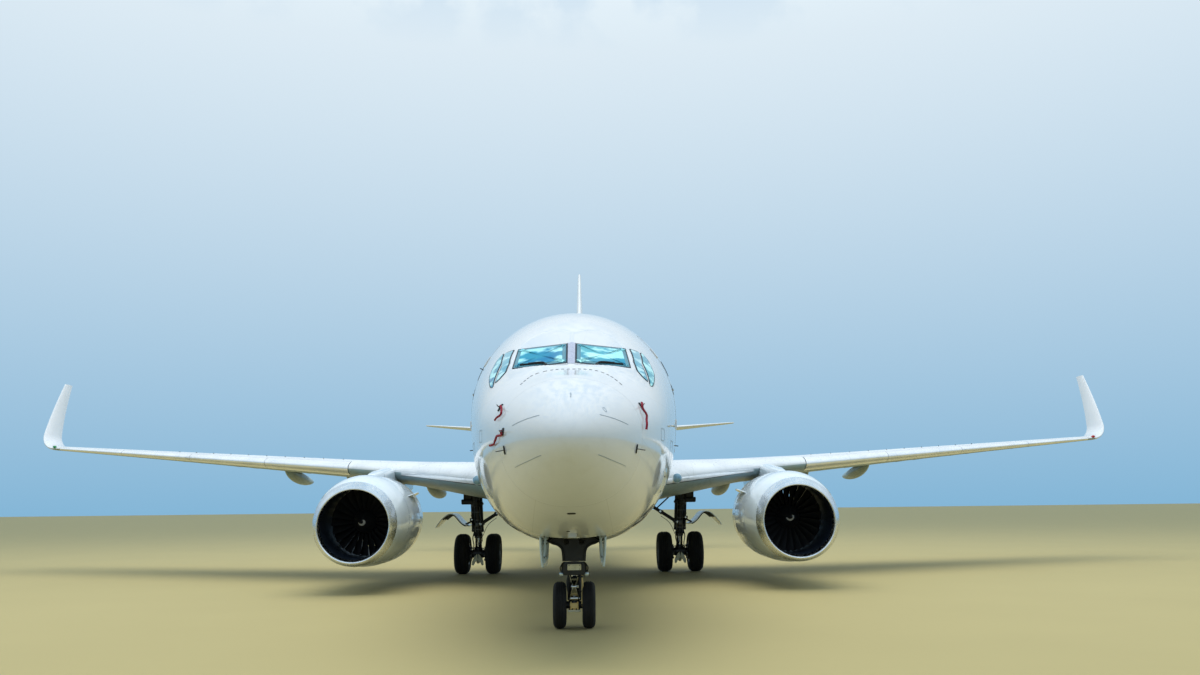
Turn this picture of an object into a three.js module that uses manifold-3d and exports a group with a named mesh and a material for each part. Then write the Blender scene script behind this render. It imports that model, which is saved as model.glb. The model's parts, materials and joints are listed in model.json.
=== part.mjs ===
// A twin-engine airliner, standing on its landing gear as it parks.
// Lengths are in millimetres. The nose points to -Y and +Z is up.
// Every shape is placed by its station, the distance aft of the nose tip,
// and the whole group is then set so that its origin is on the ground under its middle.
import * as THREE from 'three';
import { mergeVertices } from 'three/addons/utils/BufferGeometryUtils.js';
import Module from 'manifold-3d';

const wasm = await Module();
wasm.setup();

// Overall sizes
const overallLength = 33630;
const fuselageLength = 32180;
const crownHeight = 5400;
const bellyHeight = 1390;
const frontBellyHeight = 1290;
const fuselageHalfWidth = 1880;
const fuselageWaist = 3520;
const wingEndX = 17000;
const wingletTipX = 17881;
const wingletTipHeight = 6240;
const finTopHeight = 12500;
const stabilizerHalfSpan = 7175;

// Gaps: between fixed pieces that meet, round a skin panel, ahead of a hinged surface and at its ends
const seatGap = 1;
const panelGap = 8;
const hingeGap = 20;
const hingeEndGap = 30;

// Landing gear
const noseGearStation = 4000;
const noseTyreRadius = 345;
const noseTyreWidth = 200;
const noseWheelSpacing = 440;
const mainGearStation = 16600;
const mainGearX = 2860;
const mainTyreRadius = 560;
const mainTyreWidth = 410;
const mainWheelSpacing = 870;

// Engines
const engineX = 4830;
const engineHeight = 1550;
const inletStation = 9950;
const inletDroop = 87;
const fanRadius = 772;
const fanBladeCount = 24;
const pylonHalfWidth = 165;
const sleeveSlotHalfWidth = 190;

// Smoothness of the round shapes
const fuselageSides = 32;
const nacelleSides = 30;
const coreSides = 24;
const tyreSides = 24;
const wheelSides = 18;
const tubeSides = 12;

const paintWhite = new THREE.MeshStandardMaterial({ color: 0xe9ecef, roughness: 0.28, metalness: 0.0 });
const paintGrey = new THREE.MeshStandardMaterial({ color: 0xa9aeb2, roughness: 0.42, metalness: 0.0 });
const bareMetal = new THREE.MeshStandardMaterial({ color: 0xc9ccd0, roughness: 0.25, metalness: 0.9 });
const hotMetal = new THREE.MeshStandardMaterial({ color: 0x6d6862, roughness: 0.5, metalness: 0.8 });
const fanMetal = new THREE.MeshStandardMaterial({ color: 0x3b3f45, roughness: 0.35, metalness: 0.8 });
const gearSteel = new THREE.MeshStandardMaterial({ color: 0x9a9da0, roughness: 0.45, metalness: 0.5 });
const wheelMetal = new THREE.MeshStandardMaterial({ color: 0xbfc2c4, roughness: 0.4, metalness: 0.7 });
const tyreRubber = new THREE.MeshStandardMaterial({ color: 0x1c1c1d, roughness: 0.85, metalness: 0.0 });
const windowGlass = new THREE.MeshStandardMaterial({ color: 0x10151a, roughness: 0.08, metalness: 0.0 });

const airliner = new THREE.Group();
airliner.position.y = -overallLength / 2;

// Solids from meshes, and back

function signedVolume(points, triangles) {
  const a = new THREE.Vector3();
  const b = new THREE.Vector3();
  const c = new THREE.Vector3();
  let volume = 0;
  for (let i = 0; i < triangles.length; i += 3) {
    a.fromArray(points, triangles[i] * 3);
    b.fromArray(points, triangles[i + 1] * 3);
    c.fromArray(points, triangles[i + 2] * 3);
    volume += a.dot(b.cross(c)) / 6;
  }
  return volume;
}

function toSolid(geometry) {
  const bare = new THREE.BufferGeometry();
  bare.setAttribute('position', geometry.getAttribute('position').clone());
  bare.setIndex(geometry.index);
  const merged = mergeVertices(bare, 1e-2);
  const points = new Float32Array(merged.getAttribute('position').array);
  const index = merged.index.array;
  const triangles = [];
  for (let i = 0; i < index.length; i += 3) {
    const [a, b, c] = [index[i], index[i + 1], index[i + 2]];
    if (a !== b && b !== c && c !== a) triangles.push(a, b, c);
  }
  if (signedVolume(points, triangles) < 0) triangles.reverse();
  const triVerts = new Uint32Array(triangles);
  return new wasm.Manifold(new wasm.Mesh({ numProp: 3, vertProperties: points, triVerts }));
}

function toGeometry(solid) {
  const mesh = solid.getMesh();
  const geometry = new THREE.BufferGeometry();
  geometry.setAttribute('position', new THREE.BufferAttribute(new Float32Array(mesh.vertProperties), 3));
  geometry.setIndex(new THREE.BufferAttribute(new Uint32Array(mesh.triVerts), 1));
  return geometry;
}

function largestPiece(solid) {
  const pieces = solid.decompose();
  return pieces.reduce((best, piece) => (piece.volume() > best.volume() ? piece : best));
}

function moved(solid, x, y, z) {
  return toSolid(toGeometry(solid).translate(x, y, z));
}

function mirrored(solid) {
  return toSolid(toGeometry(solid).scale(-1, 1, 1));
}

// A solid joined with its mirror image, so that what it cuts clears both hands of it
function bothHands(solid) {
  return solid.add(mirrored(solid));
}

// A body without what another takes up, nor the seat gap round it
function clearOf(body, other) {
  const steps = [0, 1, 2].flatMap((axis) => [seatGap, -seatGap].map((size) => {
    const step = [0, 0, 0];
    step[axis] = size;
    return step;
  }));
  return steps.reduce((rest, step) => rest.subtract(moved(other, ...step)), body);
}

function addPart(name, solid, material, position = [0, 0, 0]) {
  const geometry = toGeometry(largestPiece(solid));
  geometry.computeVertexNormals();
  const mesh = new THREE.Mesh(geometry, material);
  mesh.name = name;
  mesh.position.set(...position);
  airliner.add(mesh);
}

// A skin over rings that all have the same number of points, closed at both ends
function loft(rings) {
  const count = rings[0].length;
  const positions = rings.flat().flatMap((point) => point.toArray());
  const index = [];
  for (let ring = 0; ring + 1 < rings.length; ring += 1) {
    for (let i = 0; i < count; i += 1) {
      const a = ring * count + i;
      const b = ring * count + ((i + 1) % count);
      index.push(a, b, b + count, a, b + count, a + count);
    }
  }
  const lastRing = (rings.length - 1) * count;
  for (let i = 0; i < count - i - 1; i += 1) {
    const [a, b] = [i, i + 1];
    const [c, d] = [count - i - 1, (count - i) % count];
    index.push(a, c, b, a, d, c);
    index.push(lastRing + a, lastRing + b, lastRing + c, lastRing + a, lastRing + c, lastRing + d);
  }
  const geometry = new THREE.BufferGeometry();
  geometry.setAttribute('position', new THREE.Float32BufferAttribute(positions, 3));
  geometry.setIndex(index);
  return toSolid(geometry);
}

function shapeOf(points) {
  return new THREE.Shape(points.map(([u, v]) => new THREE.Vector2(u, v)));
}

// An outline in plan, of x and station, as a prism between two heights
function planPrism(points, low = 0, high = 8000) {
  const geometry = new THREE.ExtrudeGeometry(shapeOf(points), { depth: high - low, bevelEnabled: false });
  return toSolid(geometry.translate(0, 0, low));
}

// An outline in side view, of station and height, as a prism between two values of x
function sidePrism(shape, low, high) {
  const settings = { depth: high - low, bevelEnabled: false, curveSegments: 4 };
  const geometry = new THREE.ExtrudeGeometry(shape, settings);
  const sideView = new THREE.Matrix4().makeBasis(
    new THREE.Vector3(0, 1, 0),
    new THREE.Vector3(0, 0, 1),
    new THREE.Vector3(1, 0, 0),
  );
  return toSolid(geometry.applyMatrix4(sideView).translate(low, 0, 0));
}

// A round bar or tube's outside between two points
function bar(start, end, radius, endRadius = radius, sides = tubeSides) {
  const from = new THREE.Vector3(...start);
  const along = new THREE.Vector3(...end).sub(from);
  const geometry = new THREE.CylinderGeometry(endRadius, radius, along.length(), sides);
  geometry.translate(0, along.length() / 2, 0);
  const upright = new THREE.Vector3(0, 1, 0);
  const turn = new THREE.Quaternion().setFromUnitVectors(upright, along.clone().normalize());
  geometry.applyQuaternion(turn).translate(from.x, from.y, from.z);
  return toSolid(geometry);
}

function block(low, high) {
  const size = high.map((value, i) => value - low[i]);
  const geometry = new THREE.BoxGeometry(...size);
  return toSolid(geometry.translate(...low.map((value, i) => value + size[i] / 2)));
}

// Fuselage. Columns: station, crown, belly, half width, waist (the height of the widest point),
// roundness of the lower half (1 is an ellipse, less is fuller)
const noseSections = [
  [0, 2580, 2580, 0, 2580, 1],
  [250, 2945, 2255, 425, 2605, 0.97],
  [1000, 3360, 1850, 845, 2690, 0.9],
  [2000, 3715, 1500, 1205, 2840, 0.84],
  [2500, 4110, 1380, 1330, 2930, 0.83],
  [3000, 4385, 1310, 1430, 3020, 0.83],
  [4000, 4780, 1245, 1590, 3180, 0.83],
  [5000, 5055, 1240, 1712, 3320, 0.84],
  [6000, 5250, 1250, 1812, 3430, 0.86],
  [7000, 5360, 1270, 1865, 3490, 0.88],
  [8000, crownHeight, frontBellyHeight, fuselageHalfWidth, fuselageWaist, 0.9],
];
const tailSections = [
  [8000, crownHeight, frontBellyHeight, fuselageHalfWidth, fuselageWaist, 0.9],
  [20000, crownHeight, bellyHeight, fuselageHalfWidth, fuselageWaist, 1],
  [22000, 5400, 1520, 1872, 3545, 1],
  [24000, 5395, 1960, 1790, 3700, 1],
  [26000, 5370, 2570, 1600, 3980, 1],
  [28000, 5320, 3235, 1290, 4290, 1],
  [30000, 5230, 3910, 860, 4570, 1],
  [31500, 5130, 4390, 480, 4760, 1],
  [fuselageLength, 5065, 4640, 212, 4852, 1],
];

// A smooth curve through a table's column: cubic pieces, whose slope at each row
// is that of the line between its two neighbours
function smoothColumn(table, column, value, scale = (v) => v) {
  const knots = table.map((row) => scale(row[0]));
  const values = table.map((row) => row[column]);
  const at = Math.min(Math.max(scale(value), knots[0]), knots.at(-1));
  let i = 0;
  while (i < knots.length - 2 && at > knots[i + 1]) i += 1;
  const slope = (k) => {
    const [low, high] = [Math.max(k - 1, 0), Math.min(k + 1, knots.length - 1)];
    return (values[high] - values[low]) / (knots[high] - knots[low]);
  };
  const width = knots[i + 1] - knots[i];
  const t = (at - knots[i]) / width;
  const [t2, t3] = [t * t, t * t * t];
  return (2 * t3 - 3 * t2 + 1) * values[i] + (t3 - 2 * t2 + t) * width * slope(i)
    + (3 * t2 - 2 * t3) * values[i + 1] + (t3 - t2) * width * slope(i + 1);
}

// Over the nose the curves run in the square root of the station, which rounds the tip
function fuselageSection(station) {
  const inNose = station < 8000;
  const table = inNose ? noseSections : tailSections;
  const scale = inNose ? Math.sqrt : (v) => v;
  const columns = [1, 2, 3, 4, 5].map((c) => smoothColumn(table, c, station, scale));
  const [crown, belly, halfWidth, waist, roundness] = columns;
  return { crown, belly, halfWidth, waist, roundness };
}

function fuselageRing(station, inset) {
  const { crown, belly, halfWidth, waist, roundness } = fuselageSection(station);
  const ring = [];
  for (let i = 0; i < fuselageSides; i += 1) {
    const angle = (i / fuselageSides) * 2 * Math.PI;
    const [sine, cosine] = [Math.sin(angle), Math.cos(angle)];
    const power = cosine > 0 ? 1 : roundness;
    const reach = cosine > 0 ? crown - waist - inset : waist - belly - inset;
    const x = Math.max(halfWidth - inset, 0) * Math.sign(sine) * Math.abs(sine) ** power;
    const z = waist + Math.max(reach, 0) * Math.sign(cosine) * Math.abs(cosine) ** power;
    ring.push(new THREE.Vector3(x, station, z));
  }
  return ring;
}

const fuselageStations = [0, 30, 120, 280, 520, 1000, 1500, 1850, 2100, 2350, 2600, 2850, 3100, 3500,
  4000, 4700, 5500, 6500, 8000, 14000, 20000, 22000, 23500, 25000, 26500, 28000, 29500, 30700, 31600,
  fuselageLength];

// The windshield's flat panes. Columns: station and x of the base's inner corner,
// the base's outer corner and the top's outer corner
const flatPanes = [
  [[2010, 45], [2330, 850], [2790, 805]],
  [[2330, 850], [3180, 1265], [2790, 805]],
];

function skinPoint([station, x]) {
  const { crown, halfWidth, waist } = fuselageSection(station);
  const height = waist + (crown - waist) * Math.sqrt(1 - (x / halfWidth) ** 2);
  return new THREE.Vector3(x, station, height);
}

// What a flat pane takes off the rounded nose: a block that stands on the pane's plane, above its base
function paneCutter([inner, outer, top], inset) {
  const origin = skinPoint(inner);
  const along = skinPoint(outer).sub(origin).normalize();
  const normal = along.clone().cross(skinPoint(top).sub(origin)).normalize();
  if (normal.z < 0) normal.negate();
  const upwards = normal.clone().cross(along).normalize();
  if (upwards.z < 0) upwards.negate();
  const geometry = new THREE.BoxGeometry(3000, 1400, 800);
  geometry.translate(400, 700 - inset, 400 - inset);
  const basis = new THREE.Matrix4().makeBasis(along, upwards, normal);
  basis.setPosition(origin);
  return toSolid(geometry.applyMatrix4(basis));
}

function fuselageSolid(inset = 0, firstStation = 0) {
  const stations = fuselageStations.filter((station) => station >= firstStation);
  let solid = loft(stations.map((station) => fuselageRing(station, inset)));
  for (const pane of flatPanes) {
    const cutter = paneCutter(pane, inset);
    solid = solid.subtract(cutter).subtract(mirrored(cutter));
  }
  return solid;
}

// The panel that an outline takes out of a body's skin, and the body without it
function takePanel(body, outline, grownOutline, skin) {
  const panel = skin.full.intersect(outline).subtract(skin.inner);
  return [panel, body.subtract(grownOutline.subtract(skin.innerWithGap))];
}

function roundedRectangle(centreStation, centreHeight, width, height, radius) {
  const shape = new THREE.Shape();
  const [left, bottom] = [centreStation - width / 2, centreHeight - height / 2];
  shape.moveTo(left + radius, bottom);
  shape.lineTo(left + width - radius, bottom);
  shape.quadraticCurveTo(left + width, bottom, left + width, bottom + radius);
  shape.lineTo(left + width, bottom + height - radius);
  shape.quadraticCurveTo(left + width, bottom + height, left + width - radius, bottom + height);
  shape.lineTo(left + radius, bottom + height);
  shape.quadraticCurveTo(left, bottom + height, left, bottom + height - radius);
  shape.lineTo(left, bottom + radius);
  shape.quadraticCurveTo(left, bottom, left + radius, bottom);
  return shape;
}

const fuselageFull = fuselageSolid();
const fuselageSeat = bothHands(fuselageSolid(-seatGap));
const panelDepth = 90;
const fuselageSkin = {
  full: fuselageFull,
  inner: fuselageSolid(panelDepth, 1000),
  innerWithGap: fuselageSolid(panelDepth + panelGap, 1000),
};
let fuselage = fuselageFull;

// Radome
const radomeEnd = 1120;
const radomeCut = block([-2000, -100, 0], [2000, radomeEnd - panelGap / 2, 6000]);
const radomeCutGrown = block([-2000, -100, 0], [2000, radomeEnd + panelGap / 2, 6000]);
addPart('radome', fuselageFull.intersect(radomeCut), paintWhite);
fuselage = fuselage.subtract(radomeCutGrown);

// Tail cone: the auxiliary unit's exhaust end, with its outlet
const tailConeStart = 31350;
const exhaustRadius = 130;
const tailConeCut = block([-2000, tailConeStart + panelGap, 0], [2000, overallLength, 8000]);
const tailConeCutGrown = block([-2000, tailConeStart, 0], [2000, overallLength, 8000]);
const tailOutlet = bar([0, fuselageLength - 350, 4852], [0, fuselageLength + 50, 4852], exhaustRadius);
addPart('tail_cone', fuselageFull.intersect(tailConeCut).subtract(tailOutlet), bareMetal);
fuselage = fuselage.subtract(tailConeCutGrown);

// Windshield band, from the front panes round to the side windows
const windshieldOutline = [
  [1600, 3690], [3990, 3560], [3990, 3720], [3800, 3950], [2560, 4125], [1600, 4125],
];
const windshieldGrown = [
  [1600, 3682], [3998, 3552], [3998, 3723], [3805, 3959], [2560, 4133], [1600, 4133],
];
let windshield;
[windshield, fuselage] = takePanel(
  fuselage,
  sidePrism(shapeOf(windshieldOutline), -2000, 2000),
  sidePrism(shapeOf(windshieldGrown), -2000, 2000),
  fuselageSkin,
);
addPart('windshield', windshield, windowGlass);

// Cabin doors. Columns: name, side (+1 is the aeroplane's left), station and height of the centre,
// width, height
const doorCornerRadius = 150;
const doors = [
  ['door_front_left', 1, 5050, 3690, 860, 1830],
  ['door_front_right', -1, 5050, 3640, 760, 1650],
  ['door_rear_left', 1, 26300, 3700, 760, 1830],
  ['door_rear_right', -1, 26300, 3700, 760, 1650],
];
for (const [name, side, station, height, width, tall] of doors) {
  const [low, high] = side > 0 ? [300, 2500] : [-2500, -300];
  const [outline, grown] = [0, 2 * panelGap].map((extra) => sidePrism(
    roundedRectangle(station, height, width + extra, tall + extra, doorCornerRadius),
    low,
    high,
  ));
  let door;
  [door, fuselage] = takePanel(fuselage, outline, grown, fuselageSkin);
  addPart(name, door, paintWhite);
}

// Nose gear well
const noseWell = { halfWidth: 400, front: 2560, back: 4620, roof: 2060 };
const noseWellCut = block(
  [-noseWell.halfWidth, noseWell.front, 1000],
  [noseWell.halfWidth, noseWell.back, noseWell.roof],
);
fuselage = fuselage.subtract(noseWellCut);

// Fairing under the wing's root, with the main wheel wells. Columns: station, half width, half height
const fairingHeight = 2300;
const fairingSections = [
  [9500, 1400, 560],
  [10500, 1800, 880],
  [11800, 1975, 1030],
  [14000, 2030, 1085],
  [17500, 2010, 1085],
  [19000, 1880, 1010],
  [20300, 1640, 820],
  [21300, 1250, 540],
];
const fairingFullness = 0.86;
const fairingFront = 9500;
const fairingLength = 11800;
const fairingSteps = 11;
const fairingSides = 24;

function fairingSolid(inset = 0) {
  const rings = [];
  for (let k = 0; k <= fairingSteps; k += 1) {
    const station = fairingFront + (fairingLength * k) / fairingSteps;
    const halfWidth = smoothColumn(fairingSections, 1, station) - inset;
    const halfHeight = smoothColumn(fairingSections, 2, station) - inset;
    const ring = [];
    for (let i = 0; i < fairingSides; i += 1) {
      const angle = (i / fairingSides) * 2 * Math.PI;
      const [s, c] = [Math.sin(angle), Math.cos(angle)];
      const x = halfWidth * Math.sign(s) * Math.abs(s) ** fairingFullness;
      const z = fairingHeight + halfHeight * Math.sign(c) * Math.abs(c) ** fairingFullness;
      ring.push(new THREE.Vector3(x, station, z));
    }
    rings.push(ring);
  }
  return loft(rings);
}

// Jacking pads with flat undersides: one under the nose, one under each wing
const jackPadRadius = 60;
const noseJackPad = bar([0, 2250, 1650], [0, 2250, 1390], jackPadRadius);
const wingJackPad = bar([3550, 15900, 2450], [3550, 15900, 2295], jackPadRadius);

// Main wheel wells, each with a channel out to its leg
const mainWell = { x: 760, radius: 640, roof: 1800, channelHalfLength: 270, channelEnd: 2500 };
const wheelWellSides = 28;
const wheelWell = bar(
  [mainWell.x, mainGearStation, 900],
  [mainWell.x, mainGearStation, mainWell.roof],
  mainWell.radius,
  mainWell.radius,
  wheelWellSides,
);
const legChannel = block(
  [mainWell.x, mainGearStation - mainWell.channelHalfLength, 900],
  [mainWell.channelEnd, mainGearStation + mainWell.channelHalfLength, mainWell.roof],
);
const mainWellCut = wheelWell.add(legChannel);
const bothWells = bothHands(mainWellCut);
const fairingSeat = bothHands(fairingSolid(-seatGap));
fuselage = fuselage.subtract(bothWells).add(noseJackPad);
addPart('fuselage', fuselage, paintWhite);
addPart('wing_body_fairing', fairingSolid().subtract(fuselageSeat).subtract(bothWells), paintWhite);

// Wing sections
// Columns: x, leading edge's station and height, chord, thickness over chord, incidence in degrees
const wingSections = [
  [1500, 10900, 2365, 7350, 0.145, 1.6],
  [4200, 13310, 2705, 5000, 0.128, 1.2],
  [5900, 14197, 2870, 4153, 0.12, 0.8],
  [wingEndX, 19976, 3885, 1300, 0.105, -0.8],
];
const chordSteps = [0, 0.004, 0.02, 0.06, 0.14, 0.28, 0.45, 0.62, 0.8, 1];
const wingCamber = 0.016;
const trailingEdgeHalf = 0.0015;

// Half thickness over chord at a fraction of the chord, for a section of thickness 1
function thicknessShape(f) {
  return 5 * (0.2969 * Math.sqrt(f) - 0.126 * f - 0.3516 * f ** 2 + 0.2843 * f ** 3 - 0.1036 * f ** 4);
}

// A wing section's ring, whose thickness runs along a direction leaning by the cant from straight up
function aerofoilRing(section) {
  const { x, station, height, chord, thickness } = section;
  const { incidence = 0, cant = 0, camber = wingCamber } = section;
  const turn = THREE.MathUtils.degToRad(incidence);
  const lean = THREE.MathUtils.degToRad(cant);
  const point = (f, side) => {
    const half = thickness * thicknessShape(f) + trailingEdgeHalf * f;
    const rise = (4 * camber * f * (1 - f) + side * half) * chord;
    const back = f * chord;
    const up = rise - back * Math.sin(turn);
    const aft = station + back * Math.cos(turn);
    return new THREE.Vector3(x - up * Math.sin(lean), aft, height + up * Math.cos(lean));
  };
  const upper = chordSteps.map((f) => point(f, 1));
  const lower = chordSteps.slice(1).reverse().map((f) => point(f, -1));
  return [...upper, ...lower];
}

function wingSection(x) {
  let i = 0;
  while (i < wingSections.length - 2 && x > wingSections[i + 1][0]) i += 1;
  const [low, high] = [wingSections[i], wingSections[i + 1]];
  const t = (x - low[0]) / (high[0] - low[0]);
  const values = low.map((value, c) => value + t * (high[c] - value));
  const [, station, height, chord, thickness, incidence] = values;
  return { x, station, height, chord, thickness, incidence };
}

// A point in plan at a fraction of the wing's chord
function wingPlan(x, fraction, shift = 0) {
  const { station, chord } = wingSection(x);
  return [x, station + fraction * chord + shift];
}

// The part of the plan between two values of x and two fractions of the chord, grown by a gap
function wingZone(inner, outer, front, back, gap = 0, frontGap = gap, backGap = gap) {
  const knots = wingSections.map((row) => row[0]).filter((x) => x > inner && x < outer);
  const along = [inner - gap, ...knots, outer + gap];
  const ahead = along.map((x) => wingPlan(x, front, -frontGap));
  const behind = along.map((x) => wingPlan(x, back, backGap)).reverse();
  return planPrism([...ahead, ...behind]);
}

const wingRings = wingSections.map((row) => aerofoilRing(wingSection(row[0])));
const wingFull = loft(wingRings).subtract(fuselageSeat).subtract(fairingSeat);

// Surfaces of the wing. Each is inner and outer x, front and back fraction of the chord
const aileronZone = [12600, 16250, 0.73, 1.2];
const spoilerZone = [6000, 11900, 0.6, 0.715];
const innerFlapZone = [2180, 5600, 0.73, 1.2];
const outerFlapZone = [5640, 12480, 0.73, 1.2];
const slatZone = [6050, 16700, -0.3, 0.085];
const spoilerThickness = 45;
const spoilerGap = 12;
const spoilerEndGap = 24;

// A hinged surface starts at its hinge line, with a round nose that turns about that line.
// Radii of the noses at their inner and outer ends
const aileronNose = [82, 52];
const elevatorNose = [116, 28];
const rudderNose = [196, 53];
const hingeNoseSides = 16;
const noseEndGap = 50;

function wingPoint(x, fraction) {
  const { station, height, chord, incidence } = wingSection(x);
  const drop = fraction * chord * Math.sin(THREE.MathUtils.degToRad(incidence));
  const rise = 4 * wingCamber * fraction * (1 - fraction) * chord;
  return [x, station + fraction * chord, height - drop + rise];
}

// The nose's body between two ends of its hinge line, the same grown by a gap, longer at each end
function hingeNose(start, end, [startRadius, endRadius], gap = 0, endGap = 0) {
  const from = new THREE.Vector3(...start);
  const to = new THREE.Vector3(...end);
  const extra = to.clone().sub(from).normalize().multiplyScalar(endGap);
  from.sub(extra);
  to.add(extra);
  return bar(from.toArray(), to.toArray(), startRadius + gap, endRadius + gap, hingeNoseSides);
}

const aileronEnds = [wingPoint(aileronZone[0], aileronZone[2]), wingPoint(aileronZone[1], aileronZone[2])];
const aileron = wingFull
  .intersect(wingZone(...aileronZone).add(hingeNose(...aileronEnds, aileronNose)))
  .intersect(block([aileronZone[0], 0, 0], [aileronZone[1], overallLength, 8000]));
const aileronGap = wingZone(...aileronZone, hingeEndGap, 0, 0)
  .add(hingeNose(...aileronEnds, aileronNose, hingeGap, noseEndGap));
const innerFlap = wingFull.intersect(wingZone(...innerFlapZone));
const outerFlap = wingFull.intersect(wingZone(...outerFlapZone));
const flapGap = wingZone(...innerFlapZone, panelGap).add(wingZone(...outerFlapZone, panelGap));
const slat = wingFull.intersect(wingZone(...slatZone));
const slatGap = wingZone(...slatZone, panelGap);
const spoiler = wingFull
  .intersect(wingZone(...spoilerZone))
  .subtract(moved(wingFull, 0, 0, -spoilerThickness));
const spoilerPocket = wingZone(...spoilerZone, spoilerEndGap, spoilerGap, spoilerGap)
  .subtract(moved(wingFull, 0, 0, -spoilerThickness - spoilerGap));

// Flap track fairings. Columns: x, front station, back station, half width, depth
const trackFairings = [
  [4200, 15900, 19250, 185, 430],
  [6550, 16300, 19350, 175, 400],
  [8550, 17050, 19950, 160, 360],
];
const trackSteps = 9;
const trackSides = 8;

function trackFairing([x, front, back, halfWidth, depth]) {
  const { height } = wingSection(x);
  const rings = [];
  for (let k = 0; k <= trackSteps; k += 1) {
    const t = k / trackSteps;
    const size = Math.sin(Math.PI * t ** 0.8) ** 0.62;
    const top = height - 40 - 330 * t ** 1.6;
    const ring = [];
    for (let i = 0; i < trackSides; i += 1) {
      const angle = (i / trackSides) * 2 * Math.PI;
      const z = top - depth * 0.5 * size + depth * 0.5 * size * Math.cos(angle);
      ring.push(new THREE.Vector3(x + halfWidth * size * Math.sin(angle), front + (back - front) * t, z));
    }
    rings.push(ring);
  }
  return loft(rings);
}

let wing = wingFull.subtract(aileronGap).subtract(flapGap).subtract(slatGap).subtract(spoilerPocket);
wing = wing.subtract(bothWells).add(wingJackPad);
const flapSeat = innerFlap.add(outerFlap);
const fairings = trackFairings.map(trackFairing).reduce((all, one) => all.add(one));
const flapShadow = flapSeat.add(moved(flapSeat, 0, 0, -seatGap)).add(moved(flapSeat, 0, 0, 60));
const wingWithFairings = wing.add(fairings.subtract(flapShadow).subtract(flapGap.intersect(wingFull)));

// Winglet: an arc that turns the wing's end up, then a straight blade
const wingletCant = { start: 5.2, end: 79.4 };
const wingletArcRadius = 617;
const wingletSweepBack = 1980;
const wingletTipChord = 480;

function wingletSolid() {
  const root = wingSection(wingEndX);
  const [from, to] = [wingletCant.start, wingletCant.end].map((angle) => THREE.MathUtils.degToRad(angle));
  const arcPoint = (cant) => ({
    x: root.x + wingletArcRadius * (Math.sin(cant) - Math.sin(from)),
    height: root.height + wingletArcRadius * (Math.cos(from) - Math.cos(cant)),
    cant: THREE.MathUtils.radToDeg(cant),
  });
  const path = [0, 0.2, 0.4, 0.6, 0.8, 1].map((t) => arcPoint(from + t * (to - from)));
  path.push({ x: wingletTipX, height: wingletTipHeight, cant: wingletCant.end });
  let run = 0;
  const runs = path.map((point, i) => {
    if (i > 0) run += Math.hypot(point.x - path[i - 1].x, point.height - path[i - 1].height);
    return run;
  });
  const rings = path.map((point, i) => {
    const t = runs[i] / run;
    return aerofoilRing({
      ...point,
      x: i === 0 ? point.x + 3 : point.x,
      cant: i === 0 ? 0 : point.cant,
      station: root.station + wingletSweepBack * t ** 1.25,
      chord: root.chord + (wingletTipChord - root.chord) * t ** 0.9,
      thickness: 0.105 - 0.02 * t,
      incidence: root.incidence * (1 - t),
    });
  });
  return loft(rings);
}

const winglet = wingletSolid();
for (const [side, place] of [['left', (solid) => solid], ['right', mirrored]]) {
  addPart(`wing_${side}`, place(wingWithFairings), paintGrey);
  addPart(`winglet_${side}`, place(winglet), paintWhite);
  addPart(`slats_${side}`, place(slat), bareMetal);
  addPart(`inner_flap_${side}`, place(innerFlap), paintGrey);
  addPart(`outer_flap_${side}`, place(outerFlap), paintGrey);
  addPart(`aileron_${side}`, place(aileron), paintGrey);
  addPart(`spoiler_${side}`, place(spoiler), paintGrey);
}

// Fin and rudder. Columns: height, leading edge's station, chord, thickness over chord
const finSections = [
  [5000, 22100, 9130, 0.062],
  [5480, 23500, 7860, 0.075],
  [6100, 25500, 6010, 0.1],
  [7000, 26900, 4850, 0.115],
  [finTopHeight, 31600, 1570, 0.1],
];

function finRing([height, station, chord, thickness]) {
  const point = (f, side) => {
    const half = (thickness * thicknessShape(f) + trailingEdgeHalf * f) * chord;
    return new THREE.Vector3(side * half, station + f * chord, height);
  };
  const right = chordSteps.map((f) => point(f, 1));
  const left = chordSteps.slice(1).reverse().map((f) => point(f, -1));
  return [...right, ...left];
}

const finFull = loft(finSections.map(finRing)).subtract(fuselageSeat);
const rudderFoot = 5610;
const rudderHinge = { low: [0, 29850, rudderFoot], high: [0, 32670, finTopHeight] };

function rudderZone(foot) {
  const [low, high] = [rudderHinge.low, rudderHinge.high];
  const slope = (high[1] - low[1]) / (high[2] - low[2]);
  const hingeAt = (height) => low[1] + slope * (height - low[2]);
  const [top, aft] = [finTopHeight + 100, overallLength + 500];
  const outline = [[hingeAt(foot), foot], [aft, foot], [aft, top], [hingeAt(top), top]];
  return sidePrism(shapeOf(outline), -1000, 1000);
}

const rudderFootGap = 45;
const aboveFoot = block([-1000, 20000, rudderFoot], [1000, overallLength, finTopHeight + 10]);
const rudder = finFull
  .intersect(rudderZone(rudderFoot).add(hingeNose(rudderHinge.low, rudderHinge.high, rudderNose)))
  .intersect(aboveFoot);
const fin = finFull
  .subtract(rudderZone(rudderFoot - rudderFootGap))
  .subtract(hingeNose(rudderHinge.low, rudderHinge.high, rudderNose, hingeGap, noseEndGap));
addPart('fin', fin, paintWhite);
addPart('rudder', rudder, paintWhite);

// Stabilizers and elevators. Columns: x, leading edge's station and height, chord, thickness over chord
const stabilizerSections = [
  [300, 28165, 4827, 3673, 0.11],
  [6900, 32670, 5637, 886, 0.09],
  [stabilizerHalfSpan, 32950, 5671, 680, 0.07],
];
const elevatorZone = { inner: 880, outer: 6830, front: 0.7 };
const stabilizerFull = loft(stabilizerSections.map(([x, station, height, chord, thickness]) => (
  aerofoilRing({ x, station, height, chord, thickness, camber: 0 })
))).subtract(fuselageSeat);

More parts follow.
